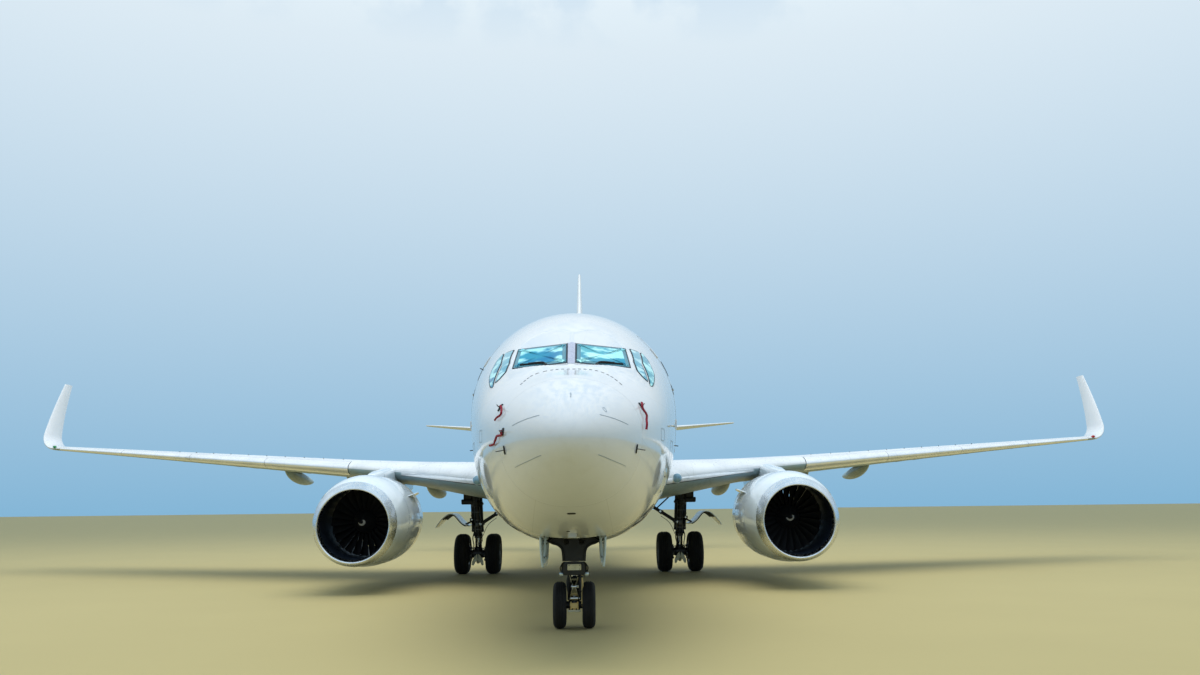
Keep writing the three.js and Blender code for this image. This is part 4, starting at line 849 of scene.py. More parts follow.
def makeWindshield():
    mould, lift = Mould(), windshield["lift"]
    for side in (1, -1):
        panes = [(onFlat(side), roundedOutline(windshield["front"], 0.018), windshield["seal"], 2)]
        for pane, paint in (("side", 3), ("aft", 0)):
            outline = roundedOutline(windshield[pane], 0.025, edgeSteps=12)
            panes.append((onSide(side), outline, 0.6 * windshield["seal"], paint))
        for place, outline, seal, paint in panes:
            skinPatch(mould, place, outline, [(0, -0.02), (0, lift), (-0.004, lift + 0.001), (-seal, lift + 0.001),
                                              (-seal - 0.003, lift - 0.001)], paint=1, steps=8)
            skinPatch(mould, place, offsetOutline(outline, -seal), [(0, -0.01), (0, lift + 0.0005),
                                                                    (-0.004, lift + 0.002)], paint=paint, steps=8)
        place, outline, seal, _ = panes[0]
        skinPatch(mould, place, offsetOutline(outline, -seal - windshield["edge"]), [
            (0, lift), (-0.002, lift + 0.008)], steps=8)
    makePiece("windshield_glass", mould, "windowGlass sealRubber glassEdge sideGlass", "windshield")
    # grey post between the front panes, with a dark line on each side
    post = Mould()
    foot, top, footHalf, topHalf = windshield["post"]
    s, wide = np.linspace(foot, top, 12)[:, None], np.linspace(footHalf, topHalf, 12)[:, None]
    for low, high, lift, paint in ((-1.0, 1.0, 0.004, 0), (-1.12, -0.98, 0.0055, 1), (0.98, 1.12, 0.0055, 1)):
        share = np.linspace(low, high, 7)
        point, normal = skinOver(1, s + 0 * share, wide * share)
        post.grid(np.concatenate([point + normal * lift, (point - normal * 0.01)[:, ::-1]], 1), paint=paint)
    makePiece("windshield_post", post, "postPaint sealRubber")
    # wipers: an arm from a pivot below the pane, and a blade along the pane's lower edge
    mould = Mould()
    for side in (1, -1):
        place = onFlat(side)
        points, normal = place(*np.array(windshield["wiper"]).T)
        out = normal[0]
        tube(mould, points + out * np.array(windshield["wiperLifts"])[:, None], 0.009, 8, 6, up=out)
        blade = place(*np.array(windshield["blade"]).T)[0]
        mould.grid(alongPath(smoothLine(blade + out * 0.018, 6), circle(1, 8) * [0.009, 0.014], out))
        rod(mould, points[0] - out * 0.01, points[0] + out * 0.03, 0.022, sides=16)
        rod(mould, points[3] + out * 0.012, points[3] + out * 0.04, 0.012, sides=12)
    makePiece("wipers", mould, "hoseBlack")


makeWindshield()
print("windshield made")


doors = [  # node, side, station, height, width, tall
    ("door_front_left", 1, 5.05, 3.69, 0.86, 1.83),
    ("door_front_right", -1, 5.05, 3.64, 0.76, 1.65),
    ("door_rear_left", 1, 26.3, 3.7, 0.76, 1.83),
    ("door_rear_right", -1, 26.3, 3.7, 0.76, 1.65),
]
holdDoors = [(-1, 8.3, 2.02, 1.22, 0.89), (-1, 22.2, 2.19, 1.22, 0.84)]
cabin = {
    "first": 6.32, "last": 25.25, "pitch": 0.508, "height": 3.93, "width": 0.25, "tall": 0.355, "corner": 0.105,
    "missing": {1: [], -1: [13]}, "exit": (14.49, 3.86, 0.56, 1.02),
}


def makeDoors():
    for node, side, station, height, width, tall in doors:
        mould, place = Mould(), onSide(side)
        outline = roundedBox(station, height, width, tall, 0.15, 6, 24)
        skinPatch(mould, place, outline, [(-0.004, -0.03), (-0.004, 0.0008), (-0.01, 0.002)], steps=12)
        skinLine(mould, place, outline, 0.014, 0.0012, paint=1, closed=True)
        # viewing window, latch recess with its handle, and a scuff strip at the sill
        eye = roundedBox(station, height + 0.4, 0.15, 0.22, 0.06, 4, 1)
        skinPatch(mould, place, eye, [(0.014, 0), (0.014, 0.008), (0, 0.008), (0, 0.0055)], paint=1, steps=1)
        skinPatch(mould, place, offsetOutline(eye, -0.002), [(0, 0.003), (0, 0.0065)], paint=2, steps=1)
        latch = station - 0.2 * width
        skinPatch(mould, place, roundedBox(latch, height + 0.02, 0.26, 0.15, 0.03, 4, 1), [(0, 0), (0, 0.0052)],
                  paint=1, steps=1)
        p, n = place(np.array([latch - 0.09, latch + 0.09]), np.full(2, height + 0.02))
        rod(mould, p[0] + n[0] * 0.014, p[1] + n[1] * 0.014, 0.011, sides=12, paint=3)
        sill = [(station + k * width / 2, height - tall / 2 - 0.05) for k in (-1, 0, 1)]
        skinLine(mould, place, sill, 0.05, 0.004, paint=3)
        for lift in (-0.32, 0.32):  # hinge covers at the front edge
            cover = roundedBox(station - width / 2 - 0.055, height + lift * tall, 0.07, 0.16, 0.02, 3, 1)
            skinPatch(mould, place, cover, [(0, -0.01), (0, 0.014), (-0.012, 0.018)], steps=1)
        makePiece(node + "_panel", mould, "bodyPaint sealRubber cabinGlass lipMetal", node)


def makeCabin():
    mould, lines = Mould(), Mould()
    for side in (1, -1):
        place = onSide(side)
        stations = np.arange(cabin["first"], cabin["last"] + 0.01, cabin["pitch"])
        for station in np.delete(stations, cabin["missing"][side]):
            outline = roundedBox(station, cabin["height"], cabin["width"], cabin["tall"], cabin["corner"], 4, 1)
            skinPatch(mould, place, outline, [(0.018, -0.006), (0.018, 0.0015), (0.012, 0.0045), (0.002, 0.0045),
                                              (0, 0.0012)], paint=1, steps=1)
            skinPatch(mould, place, offsetOutline(outline, -0.001), [(0, -0.002), (0, 0.0034)], steps=2)
        skinLine(lines, place, roundedBox(*cabin["exit"], 0.14, 5, 16), 0.012, 0.0012, closed=True)
        # joints of the skin: rings at some stations, and seams along the body
        for station in (20.6, 23.7, 27.6, 29.9):
            ring = np.full(64, station)
            z = bodyPoint(ring, np.linspace(0.03, math.pi - 0.03, 64))[:, 2]
            skinLine(lines, place, np.stack([ring, z], -1), 0.006, 0.0009)
        for height in (3.02, 4.62):
            skinLine(lines, place, np.stack([np.linspace(5.9, 27.5, 60), np.full(60, height)], -1), 0.006, 0.0009)
    for side, station, height, width, tall in holdDoors:
        skinLine(lines, onSide(side), roundedBox(station, height, width, tall, 0.11, 5, 20), 0.013, 0.0012, closed=True)
        handle = roundedBox(station, height - 0.25 * tall, 0.24, 0.11, 0.03, 3, 1)
        skinLine(lines, onSide(side), handle, 0.008, closed=True)
    makePiece("cabin_windows", mould, "cabinGlass lipMetal")
    makePiece("skin_lines", lines, "panelLine")


makeDoors()
makeCabin()
print("doors and windows made")


foil = {
    "steps": (0, 0.0015, 0.004, 0.009, 0.016, 0.028, 0.045, 0.065, 0.0845, 0.087, 0.12, 0.17, 0.24, 0.32, 0.4, 0.48,
        0.55, 0.5985, 0.6, 0.64, 0.68, 0.715, 0.7165, 0.728, 0.732, 0.77, 0.82, 0.88, 0.94, 1.0),
    "camber": 0.016, "rearHalf": 0.0015, "noseSteps": 9,
}
wingRows = np.array([  # x, leading edge's station and height, chord, thickness over chord, incidence
    [1.5, 10.9, 2.365, 7.35, 0.145, 1.6],
    [4.2, 13.31, 2.705, 5.0, 0.128, 1.2],
    [5.9, 14.197, 2.87, 4.153, 0.12, 0.8],
    [17.0, 19.976, 3.885, 1.3, 0.105, -0.8],
])


# Half thickness of the foil over chord, for thickness 1, at a fraction of the chord
def foilShape(f):
    return 5 * (0.2969 * np.sqrt(f) - 0.126 * f - 0.3516 * f**2 + 0.2843 * f**3 - 0.1036 * f**4)


# Point of a foil: leading edge + back * f * chord + up * (camber line +- half thickness)
def foilPoint(frame, f, side):
    lead, back, up, chord, thickness, camber = frame
    f = np.broadcast_to(f, (len(chord), np.shape(f)[-1]))
    half = thickness[:, None] * foilShape(f) + foil["rearHalf"] * f
    rise = (4 * camber * f * (1 - f) + side * half) * chord[:, None]
    return lead[:, None] + back[:, None] * (f * chord[:, None])[..., None] + up[:, None] * rise[..., None]


# Closed rings of a foil between two fractions of its chord, with a round nose if asked,
# and with the upper skin sunk between two fractions where dip is over 0
def foilGrid(frame, front, rear, nose=False, dip=None):
    chord = frame[3]
    steps = np.array(foil["steps"])
    front, rear = (np.broadcast_to(v, chord.shape)[:, None] for v in (front, rear))
    f = np.clip(steps[None], front, rear)
    upper, lower = foilPoint(frame, f, 1), foilPoint(frame, f[:, ::-1], -1)
    if dip is not None:
        depth, low, high = dip
        sunk = (steps > low - 1e-4) & (steps < high + 1e-4)
        upper = upper - frame[2][:, None] * (depth[:, None] * sunk[None])[..., None]
    rings = [upper, lower]
    if nose:
        top, bottom = upper[:, :1], lower[:, -1:]
        middle, half = (top + bottom) / 2, (top - bottom) / 2
        radius = np.linalg.norm(half, axis=-1, keepdims=True)
        a = np.linspace(0, np.pi, foil["noseSteps"] + 2)[1:-1][None, :, None]
        rings.append(middle - half * np.cos(a) - frame[1][:, None] * radius * np.sin(a))
    grid = np.concatenate(rings, 1)
    count = len(steps)
    paint = np.zeros(grid.shape[1], int)
    paint[count:2 * count] = 1
    return grid, paint


def wingFrame(x):
    x = np.asarray(x, float)
    station, height, chord, thickness, incidence = (np.interp(x, wingRows[:, 0], wingRows[:, c]) for c in range(1, 6))
    turn = np.radians(incidence)
    lead = np.stack([x, station - midStation, height], -1)
    back = np.stack([0 * x, np.cos(turn), -np.sin(turn)], -1)
    up = np.tile([0.0, 0.0, 1.0], (len(x), 1))
    return lead, back, up, chord, thickness, foil["camber"]


def spans(low, high, count=None, extra=()):
    count = count or max(3, int((high - low) / 0.45))
    return np.unique(np.round(np.concatenate([np.linspace(low, high, count), [e for e in extra if low < e < high]]), 5))


wing = {
    "slat": (6.06, 16.69), "slatPanels": 4, "spoiler": (6.0, 11.9), "spoilerPanels": 4,
    "spoilerThick": 0.045, "spoilerPocket": 0.057,
    "flaps": ((2.188, 5.592), (5.648, 12.472)), "aileron": (12.6, 16.25), "aileronFront": 0.73,
}


def makeWings():
    breaks = [2.17, 2.171, 4.2, 5.9, 5.975, 5.976, 6.041, 6.042, 11.924, 11.925, 12.487, 12.488, 12.569, 12.57,
              16.279, 16.28, 16.707, 16.708]
    x = spans(1.5, 17.0, 44, breaks)
    front = np.where((x > 6.0415) & (x < 16.7075), 0.087, 0.0)
    rear = np.where((x > 2.1705) & (x < 12.4875), 0.728, 1.0)
    frames = wingFrame(x)
    hinge = wing["aileronFront"] - (np.interp(x, wing["aileron"], (0.082, 0.052)) + 0.02) / frames[3]
    rear = np.where((x > 12.5695) & (x < 16.2795), hinge, rear)
    depth = np.where((x > 5.9755) & (x < 11.9245), wing["spoilerPocket"], 0.0)
    grid, paint = foilGrid(frames, front, rear, dip=(depth, 0.6, 0.715))
    tracks = Mould()
    for track in flapTracks:
        tracks.join(trackFairing(*track))
    skins = "wingPaint underPaint"

    makePair("wing_skin", Mould().grid(grid, paint=paint).join(tracks), skins, "wing")
    slats = Mould()
    edges = np.linspace(*wing["slat"], wing["slatPanels"] + 1)
    for low, high in zip(edges[:-1] + 0.006, edges[1:] - 0.006):
        grid, paint = foilGrid(wingFrame(spans(low, high, 8)), 0.0, 0.0845)
        slats.grid(grid, paint=paint)
    makePair("slats_skin", slats, "slatMetal slatMetal", "slats")
    for name, (low, high) in zip(("inner_flap", "outer_flap"), wing["flaps"]):
        grid, paint = foilGrid(wingFrame(spans(low, high, extra=(4.2, 5.9))), 0.732, 1.0)
        makePair(name + "_skin", Mould().grid(grid, paint=paint), skins, name)
    grid, paint = foilGrid(wingFrame(spans(*wing["aileron"], 12)), wing["aileronFront"], 1.0, nose=True)
    makePair("aileron_skin", Mould().grid(grid, paint=paint), skins, "aileron", "{}_aileron")
    spoilers = Mould()
    edges = np.linspace(*wing["spoiler"], wing["spoilerPanels"] + 1)
    for low, high in zip(edges[:-1] + 0.005, edges[1:] - 0.005):
        f = np.linspace(0.6, 0.715, 7)
        top = foilPoint(wingFrame(spans(low, high, 6)), f, 1)
        under = top[:, ::-1] - np.array([0, 0, wing["spoilerThick"]])
        spoilers.grid(np.concatenate([top, under], 1))
    makePair("spoiler_skin", spoilers, "wingPaint", "spoiler", "{}_spoiler")
    x, cant, lead, chord, thickness, turn = wingletPath()
    lean = np.radians(cant)
    up = np.stack([-np.sin(lean), 0 * lean, np.cos(lean)], -1)
    back = np.stack([0 * turn, np.cos(turn), 0 * turn], -1) - np.sin(turn)[:, None] * up
    grid, paint = foilGrid((lead, back, up, chord, thickness, foil["camber"]), 0.0, 1.0)
    makePair("winglet_skin", Mould().grid(grid), "bodyPaint", "winglet")


flapTracks = [  # x, front, back, half width, depth
    (4.2, 15.9, 19.25, 0.185, 0.43),
    (6.55, 16.3, 19.35, 0.175, 0.4),
    (8.55, 17.05, 19.95, 0.16, 0.36),
]


# Canoe below the wing: its size swells as a sine of the run and its top follows the wing down
def trackFairing(x, front, back, halfWidth, depth):
    height = np.interp(x, wingRows[:, 0], wingRows[:, 2])
    t = np.linspace(0, 1, 36)[:, None]
    size = np.sin(np.pi * np.clip(t**0.8, 1e-4, 1 - 1e-4)) ** 0.62
    top = height - 0.04 - 0.33 * t**1.6
    a = np.linspace(0, 2 * np.pi, 25)[None, :-1]
    z = top - depth * 0.5 * size + depth * 0.5 * size * np.cos(a)
    spot = np.broadcast_arrays(x + halfWidth * size * np.sin(a), front + (back - front) * t - midStation, z)
    return Mould().grid(np.stack(spot, -1), paint=1)


# The wing's end turns up on an arc, then runs straight to the tip
def wingletPath():
    start, end = np.radians(5.2), np.radians(79.4)
    radius, tipX, tipHeight = 0.617, 17.881, 6.24
    lead, _, _, chord, _, _ = wingFrame(np.array([17.0]))
    cant = start + np.linspace(0, 1, 13) * (end - start)
    x = lead[0, 0] + radius * (np.sin(cant) - math.sin(start))
    z = lead[0, 2] + radius * (math.cos(start) - np.cos(cant))
    t = np.linspace(0, 1, 13)[1:]
    x = np.concatenate([x, x[-1] + t * (tipX - x[-1])])
    z = np.concatenate([z, z[-1] + t * (tipHeight - z[-1])])
    cant = np.concatenate([cant, np.full(12, end)])
    run = np.concatenate([[0], np.cumsum(np.hypot(np.diff(x), np.diff(z)))])
    share = run / run[-1]
    cant[0], x[0] = 0, x[0] + 0.003
    places = np.stack([x, lead[0, 1] + 1.98 * share**1.25, z], -1)
    return (x, np.degrees(cant), places, chord[0] + (0.48 - chord[0]) * share**0.9, 0.105 - 0.02 * share,
            np.radians(-0.8 * (1 - share)))


makeWings()
print("wings made")

finRows = np.array([  # height, leading edge's station, chord, thickness over chord
    [5.0, 22.1, 9.13, 0.062],
    [5.48, 23.5, 7.86, 0.075],
    [6.1, 25.5, 6.01, 0.1],
    [7.0, 26.9, 4.85, 0.115],
    [12.5, 31.6, 1.57, 0.1],
])
stabRows = np.array([  # x, leading edge's station and height, chord, thickness over chord
    [0.3, 28.165, 4.827, 3.673, 0.11],
    [6.9, 32.67, 5.637, 0.886, 0.09],
    [7.175, 32.95, 5.671, 0.68, 0.07],
])
tail = {
    "rudderLow": (29.85, 5.61), "rudderHigh": (32.67, 12.5), "rudderFootGap": 0.045, "rudderNose": (0.196, 0.053),
    "elevator": (0.88, 6.83), "elevatorFront": 0.7, "elevatorNose": (0.116, 0.028), "gap": 0.02,
}


def finFrame(z):
    z = np.asarray(z, float)
    station, chord, thickness = (np.interp(z, finRows[:, 0], finRows[:, c]) for c in (1, 2, 3))
    lead = np.stack([0 * z, station - midStation, z], -1)
    back, up = np.tile([0.0, 1.0, 0.0], (len(z), 1)), np.tile([1.0, 0.0, 0.0], (len(z), 1))
    return lead, back, up, chord, thickness, 0.0


def stabFrame(x):
    x = np.asarray(x, float)
    station, height, chord, thickness = (np.interp(x, stabRows[:, 0], stabRows[:, c]) for c in (1, 2, 3, 4))
    lead = np.stack([x, station - midStation, height], -1)
    back, up = np.tile([0.0, 1.0, 0.0], (len(x), 1)), np.tile([0.0, 0.0, 1.0], (len(x), 1))
    return lead, back, up, chord, thickness, 0.0


def makeTail():
    (lowStation, lowZ), (highStation, highZ) = tail["rudderLow"], tail["rudderHigh"]
    foot = lowZ - tail["rudderFootGap"]
    z = spans(5.0, 12.5, 30, (5.48, 6.1, 7.0, foot - 0.001, foot))

    def hingeFraction(z, ahead):
        lead, _, _, chord, _, _ = finFrame(z)
        station = lowStation + (highStation - lowStation) * (z - lowZ) / (highZ - lowZ)
        return (station - midStation - ahead - lead[:, 1]) / chord

    ahead = np.interp(z, (lowZ, highZ), tail["rudderNose"]) + tail["gap"]
    rear = np.where(z > foot - 0.0005, hingeFraction(z, ahead), 1.0)
    grid, paint = foilGrid(finFrame(z), 0.0, rear)
    makePiece("fin_skin", Mould().grid(grid), "bodyPaint", "fin")
    z = spans(lowZ, highZ, 24, (6.1, 7.0))
    grid, paint = foilGrid(finFrame(z), hingeFraction(z, 0.0), 1.0, nose=True)
    makePiece("rudder_skin", Mould().grid(grid), "bodyPaint", "rudder", "rudder_body")
    low, high = tail["elevator"]
    x = spans(0.3, 7.175, 20, (6.9, low - 0.031, low - 0.03, high + 0.03, high + 0.031))
    frames = stabFrame(x)
    ahead = np.interp(x, tail["elevator"], tail["elevatorNose"]) + tail["gap"]
    inZone = (x > low - 0.0305) & (x < high + 0.0305)
    grid, paint = foilGrid(frames, 0.0, np.where(inZone, tail["elevatorFront"] - ahead / frames[3], 1.0))
    makePair("stabilizer_skin", Mould().grid(grid), "bodyPaint", "stabilizer")
    grid, paint = foilGrid(stabFrame(spans(low, high, 16)), tail["elevatorFront"], 1.0, nose=True)
    makePair("elevator_skin", Mould().grid(grid), "bodyPaint", "elevator", "{}_elevator")


makeTail()
print("tail made")


fairing = {
    "height": 2.3, "fullness": 0.86, "front": 9.5, "back": 21.3, "wellStation": 16.6, "wellX": 0.76, "wellRadius": 0.64,
    "wellRoof": 1.8, "channelHalf": 0.27, "channelEnd": 2.5,
    "rows": np.array([[9.5, 1.4, 0.56], [10.5, 1.8, 0.88], [11.8, 1.975, 1.03], [14.0, 2.03, 1.085], [17.5, 2.01,
        1.085], [19.0, 1.88, 1.01], [20.3, 1.64, 0.82], [21.3, 1.25, 0.54]]),
}


# Rings whose x and z are a sine and a cosine raised to the fullness, then the wells cut upwards
def makeFairing():
    stations = np.linspace(fairing["front"], fairing["back"], 96)[:, None]
    angle = np.linspace(0, 2 * math.pi, 144, endpoint=False)
    half, tall = (smoothColumn(fairing["rows"], c, stations, False) for c in (1, 2))
    sine, cosine = (np.sign(v) * np.abs(v) ** fairing["fullness"] for v in (np.sin(angle), np.cos(angle)))
    grid = np.stack(np.broadcast_arrays(half * sine, stations - midStation, fairing["height"] + tall * cosine), -1)
    mould = Mould().grid(grid)
    piece = makePiece("wing_body_fairing_skin", mould, "bodyPaint bayPaint", "wing_body_fairing")
    middle, roof = fairing["wellStation"] - midStation, fairing["wellRoof"]
    for side in (1, -1):
        wells = Mould()
        ring = circle(fairing["wellRadius"], 72) + [side * fairing["wellX"], middle]
        wells.grid([np.column_stack([ring, np.full(72, z)]) for z in (0.9, roof)], paint=1)
        x0, x1 = sorted((side * fairing["wellX"], side * fairing["channelEnd"]))
        half = fairing["channelHalf"]
        brick(wells, (x0, middle - half, 0.9), (x1, middle + half, roof - 0.004), 0.002, 1)
        count = len(wells.points[0])
        for isWell in (True, False):  # first the round well, then the channel for its leg
            mesh = bpy.data.meshes.new("cut")
            faces = [f for f in wells.faces if (max(f) < count) == isWell]
            mesh.from_pydata(np.vstack(wells.points).tolist(), [], faces)
            mesh.polygons.foreach_set("material_index", [1] * len(faces))
            for key in ("bodyPaint", "bayPaint"):
                mesh.materials.append(paints[key])
            tool = bpy.data.objects.new("cut", mesh)
            bpy.context.scene.collection.objects.link(tool)
            modifier = piece.modifiers.new("well", "BOOLEAN")
            modifier.operation, modifier.solver, modifier.object = "DIFFERENCE", "EXACT", tool
            made = bpy.data.meshes.new_from_object(piece.evaluated_get(bpy.context.evaluated_depsgraph_get()))
            piece.modifiers.clear()
            piece.data = made
            bpy.data.objects.remove(tool)
    closeDoubles(piece.data)
    shadeSmooth(piece.data, 32)


makeFairing()
print("fairing made")


engine = {
    "x": 4.83, "height": 1.55, "station": 9.95, "droop": 0.087, "flatness": 0.03, "outer": 0.83,
    "lipOuter": ((0.0, 0.785), (0.006, 0.803), (0.022, 0.824), (0.055, 0.85), (0.12, 0.885), (0.2, 0.918)),
    "cowl": ((0.2, 0.918), (0.45, 0.972), (0.85, 1.02), (1.4, 1.048), (2.35, 1.042)),
    "liner": ((2.35, 0.815), (1.6, 0.798), (1.25, 0.792), (1.0, 0.786), (0.5, 0.765), (0.15, 0.744)),
    "lipInner": ((0.15, 0.744), (0.08, 0.748), (0.03, 0.758), (0.008, 0.771), (0.0, 0.785)),
    "sleeveOuter": ((2.362, 1.041), (2.9, 1.008), (3.4, 0.93), (3.78, 0.836)),
    "sleeveInner": ((3.78, 0.816), (3.3, 0.858), (2.7, 0.842), (2.362, 0.83)),
    "slotHalf": 0.19, "sides": 96,
    "spinner": ((0.8, 0.0), (0.812, 0.02), (0.84, 0.045), (1.0, 0.165), (1.13, 0.245), (1.18, 0.262), (1.36, 0.27)),
    "core": ((1.56, 0.3), (1.72, 0.42), (2.4, 0.56), (3.2, 0.6), (3.8, 0.56), (4.45, 0.425), (4.65, 0.398)),
    "nozzle": ((4.65, 0.398), (4.655, 0.39), (4.65, 0.382), (4.47, 0.378)),
    "plug": ((4.47, 0.262), (4.55, 0.258), (4.7, 0.24), (4.9, 0.16), (5.13, 0.06), (5.155, 0.028), (5.16, 0.0)),
    "blades": ((0.235, 0.17, 28, 0.022), (0.5, 0.215, 46, 0.015), (0.772, 0.235, 62, 0.009)),
    # the blade's section, in shares of its chord and thickness
    "bladeSection": ((-0.5, 0), (-0.35, 0.34), (-0.12, 0.5), (0.15, 0.45), (0.38, 0.2), (0.5, 0), (0.38, -0.1),
        (0.15, -0.16), (-0.12, -0.2), (-0.35, -0.14)),
    "bladeCount": 24, "bladeAft": 1.25,
    "strake": ((1.5, 1.0), (2.28, 1.0), (2.28, 1.17), (2.24, 1.2), (2.05, 1.228), (1.9, 1.2), (1.5, 1.05)),
    # vanes and struts behind the fan: count, radii, and their section aft and across
    "vanes": (40, (0.3, 0.55, 0.812), ((1.58, -0.035), (1.66, -0.01), (1.78, 0), (1.78, 0.006), (1.66, 0.002),
        (1.58, -0.025))),
    "struts": (10, (0.37, 0.6, 0.79), ((1.79, 0), (1.83, 0.014), (1.9, 0.017), (2.01, 0.002), (2.01, -0.002),
        (1.9, -0.017), (1.83, -0.014))),
}


# Profile points turned about the fan's axis, drooping to the lip and a little flat beneath
def cowlGrid(profile, angles):
    profile = np.asarray(profile, float)
    aft, radius = profile[None, :, 0], profile[None, :, 1]
    angles = np.asarray(angles, float)
    angles = angles[:, None] if angles.ndim == 1 else angles
    x, z = radius * np.sin(angles), radius * np.cos(angles)
    outside = np.clip((radius - engine["outer"]) / 0.15, 0, 1)
    z = np.where(z < 0, z * (1 - engine["flatness"] * outside), z)
    z = z - engine["droop"] * np.clip(1 - aft, 0, None) ** 2
    return np.stack(np.broadcast_arrays(x, aft, z), -1) + [0, engine["station"] - midStation, engine["height"]]


def bothEngines(name, mould, finish, replaces=None, body="airframe", mirror=True):
    for hand, side in (("left", 1), ("right", -1)):
        made = mould.mirrored() if side < 0 and mirror else Mould().join(mould)
        made.points = [p + [side * engine["x"], 0, 0] for p in made.points]
        makePiece(f"{name}_{hand}", made, finish, replaces and f"{replaces}_{hand}", body.format(hand))


# Directions outwards and across, at an angle about the engine's axis from the top
def aroundAxis(a):
    return np.array([math.sin(a), 0, math.cos(a)]), np.array([math.cos(a), 0, -math.sin(a)])


def makeEngines():
    origin = at(0, engine["station"], engine["height"])
    angles = np.arange(engine["sides"]) * 2 * np.pi / engine["sides"]
    lines = [smoothLine(engine[k], n) for k, n in (("lipOuter", 3), ("cowl", 7), ("liner", 4), ("lipInner", 3))]
    lines = [line if k == 1 else line[:-1] for k, line in enumerate(lines)]
    paint = np.repeat((1, 0, 2, 1), [len(line) for line in lines])
    mould = Mould().grid(cowlGrid(np.vstack(lines), angles), loop=True, paint=paint)
    # strake on the inboard side: a thin fin with a sloping front
    slab(mould, engine["strake"], origin, (0, 1, 0), aroundAxis(math.radians(-58))[0], 0.018, 0.006)
    bothEngines("inlet_skin", mould, "cowlPaint lipMetal linerPaint", "inlet_cowl")
    outer, inner = smoothLine(engine["sleeveOuter"], 8), smoothLine(engine["sleeveInner"], 5)
    profile = np.vstack([outer, inner])
    slot = np.arcsin(engine["slotHalf"] / profile[:, 1])[None]
    t = np.linspace(0, 1, 90)[:, None]
    grid = cowlGrid(profile, slot + t * (2 * np.pi - 2 * slot))
    mould = Mould().grid(grid, paint=np.repeat((0, 1), (len(outer), len(inner))))
    bothEngines("sleeve_skin", mould, "cowlPaint linerPaint", "reverser_sleeve", "{}_sleeve")
    core = Mould()
    turned(core, np.vstack([smoothLine(engine[k], n) for k, n in (("core", 6), ("nozzle", 2), ("plug", 4))]),
           origin, sides=72)
    for kind in ("vanes", "struts"):  # a section of (aft, across) carried outwards through the duct
        count, radii, section = engine[kind]
        section = np.array(section)
        for k in range(count):
            outward, across = aroundAxis((k + 0.5) * 2 * math.pi / count)
            core.grid([origin + outward * radius + section[:, 1:] * across + section[:, :1] * [0, 1, 0]
                       for radius in radii], paint=1)
    bothEngines("core_skin", core, "hotMetal fanMetal", "engine_core", mirror=False)

    fan = Mould()
    spinner = smoothLine(engine["spinner"], 5)
    turned(fan, np.vstack([spinner, [[1.36, 0]]]), origin, sides=48, paint=1)
    radii = np.linspace(0.235, 0.772, 9)
    blades = np.array(engine["blades"])
    chord, twist, thick = (np.interp(radii, blades[:, 0], blades[:, c])[:, None] for c in (1, 2, 3))
    u, v = np.array(engine["bladeSection"]).T
    along, off = u * chord, v * thick + 0.05 * chord * (1 - 4 * u**2)
    turn = np.radians(twist)
    aft = engine["bladeAft"] + along * np.cos(turn) - off * np.sin(turn)
    across = along * np.sin(turn) + off * np.cos(turn)
    rise = np.sqrt(radii[:, None] ** 2 - across**2)
    for k in range(engine["bladeCount"]):
        a = 2 * math.pi * k / engine["bladeCount"]
        x, z = across * math.cos(a) + rise * math.sin(a), rise * math.cos(a) - across * math.sin(a)
        fan.grid(np.stack([x, aft, z], -1) + origin)
    # the mark on the spinner: a short white curl that widens outwards
    t = np.linspace(0, 1, 26)
    a, radius, wide = 0.6 + t * 3.9, 0.035 + 0.06 * t, 0.006 + 0.016 * np.sin(np.pi * t) ** 0.6
    rows = []
    for out, lift in ((1, -0.003), (1, 0.0022), (-1, 0.0022), (-1, -0.003)):
        r = radius + out * wide
        reach = r + lift * 0.6
        aft = np.interp(r, spinner[:, 1], spinner[:, 0]) - lift * 0.8
        rows.append(np.stack([reach * np.sin(a), aft, reach * np.cos(a)], -1) + origin)
    fan.grid(np.stack(rows, 1), paint=2)
    bothEngines("fan_blades", fan, "fanMetal spinnerPaint markPaint", "fan", "{}_fan", False)
    makePylons()


pylon = {  # station: bottom, top and half width at each
    "rows": ((11.15, 2.47, 2.475, 0.004), (11.3, 2.45, 2.56, 0.05), (11.6, 2.44, 2.635, 0.1),
        (12.2, 2.44, 2.72, 0.165), (12.315, 2.44, 2.735, 0.165), (12.33, 2.0, 2.735, 0.165),
        (13.3, 1.98, 2.845, 0.165), (13.6, 1.97, 2.84, 0.165), (14.05, 1.96, 2.8, 0.165), (14.65, 2.01, 2.75, 0.165),
        (15.3, 2.1, 2.7, 0.126), (16.3, 2.285, 2.68, 0.068), (16.88, 2.4, 2.665, 0.03)),
}


def makePylons():
    rows = np.array(pylon["rows"])
    station = spans(11.15, 16.88, 60, rows[:, 0])
    bottom, top, half = (np.interp(station, rows[:, 0], rows[:, c])[:, None] for c in (1, 2, 3))
    a = np.linspace(0, 2 * np.pi, 33)[None, :-1]
    s, c = np.sin(a), np.cos(a)
    x = half * np.sign(s) * np.abs(s) ** 0.45
    z = (top + bottom) / 2 + (top - bottom) / 2 * np.sign(c) * np.abs(c) ** 0.55
    grid = np.stack(np.broadcast_arrays(x, station[:, None] - midStation, z), -1)
    bothEngines("pylon_skin", Mould().grid(grid), "cowlPaint", "pylon")


makeEngines()
print("engines made")


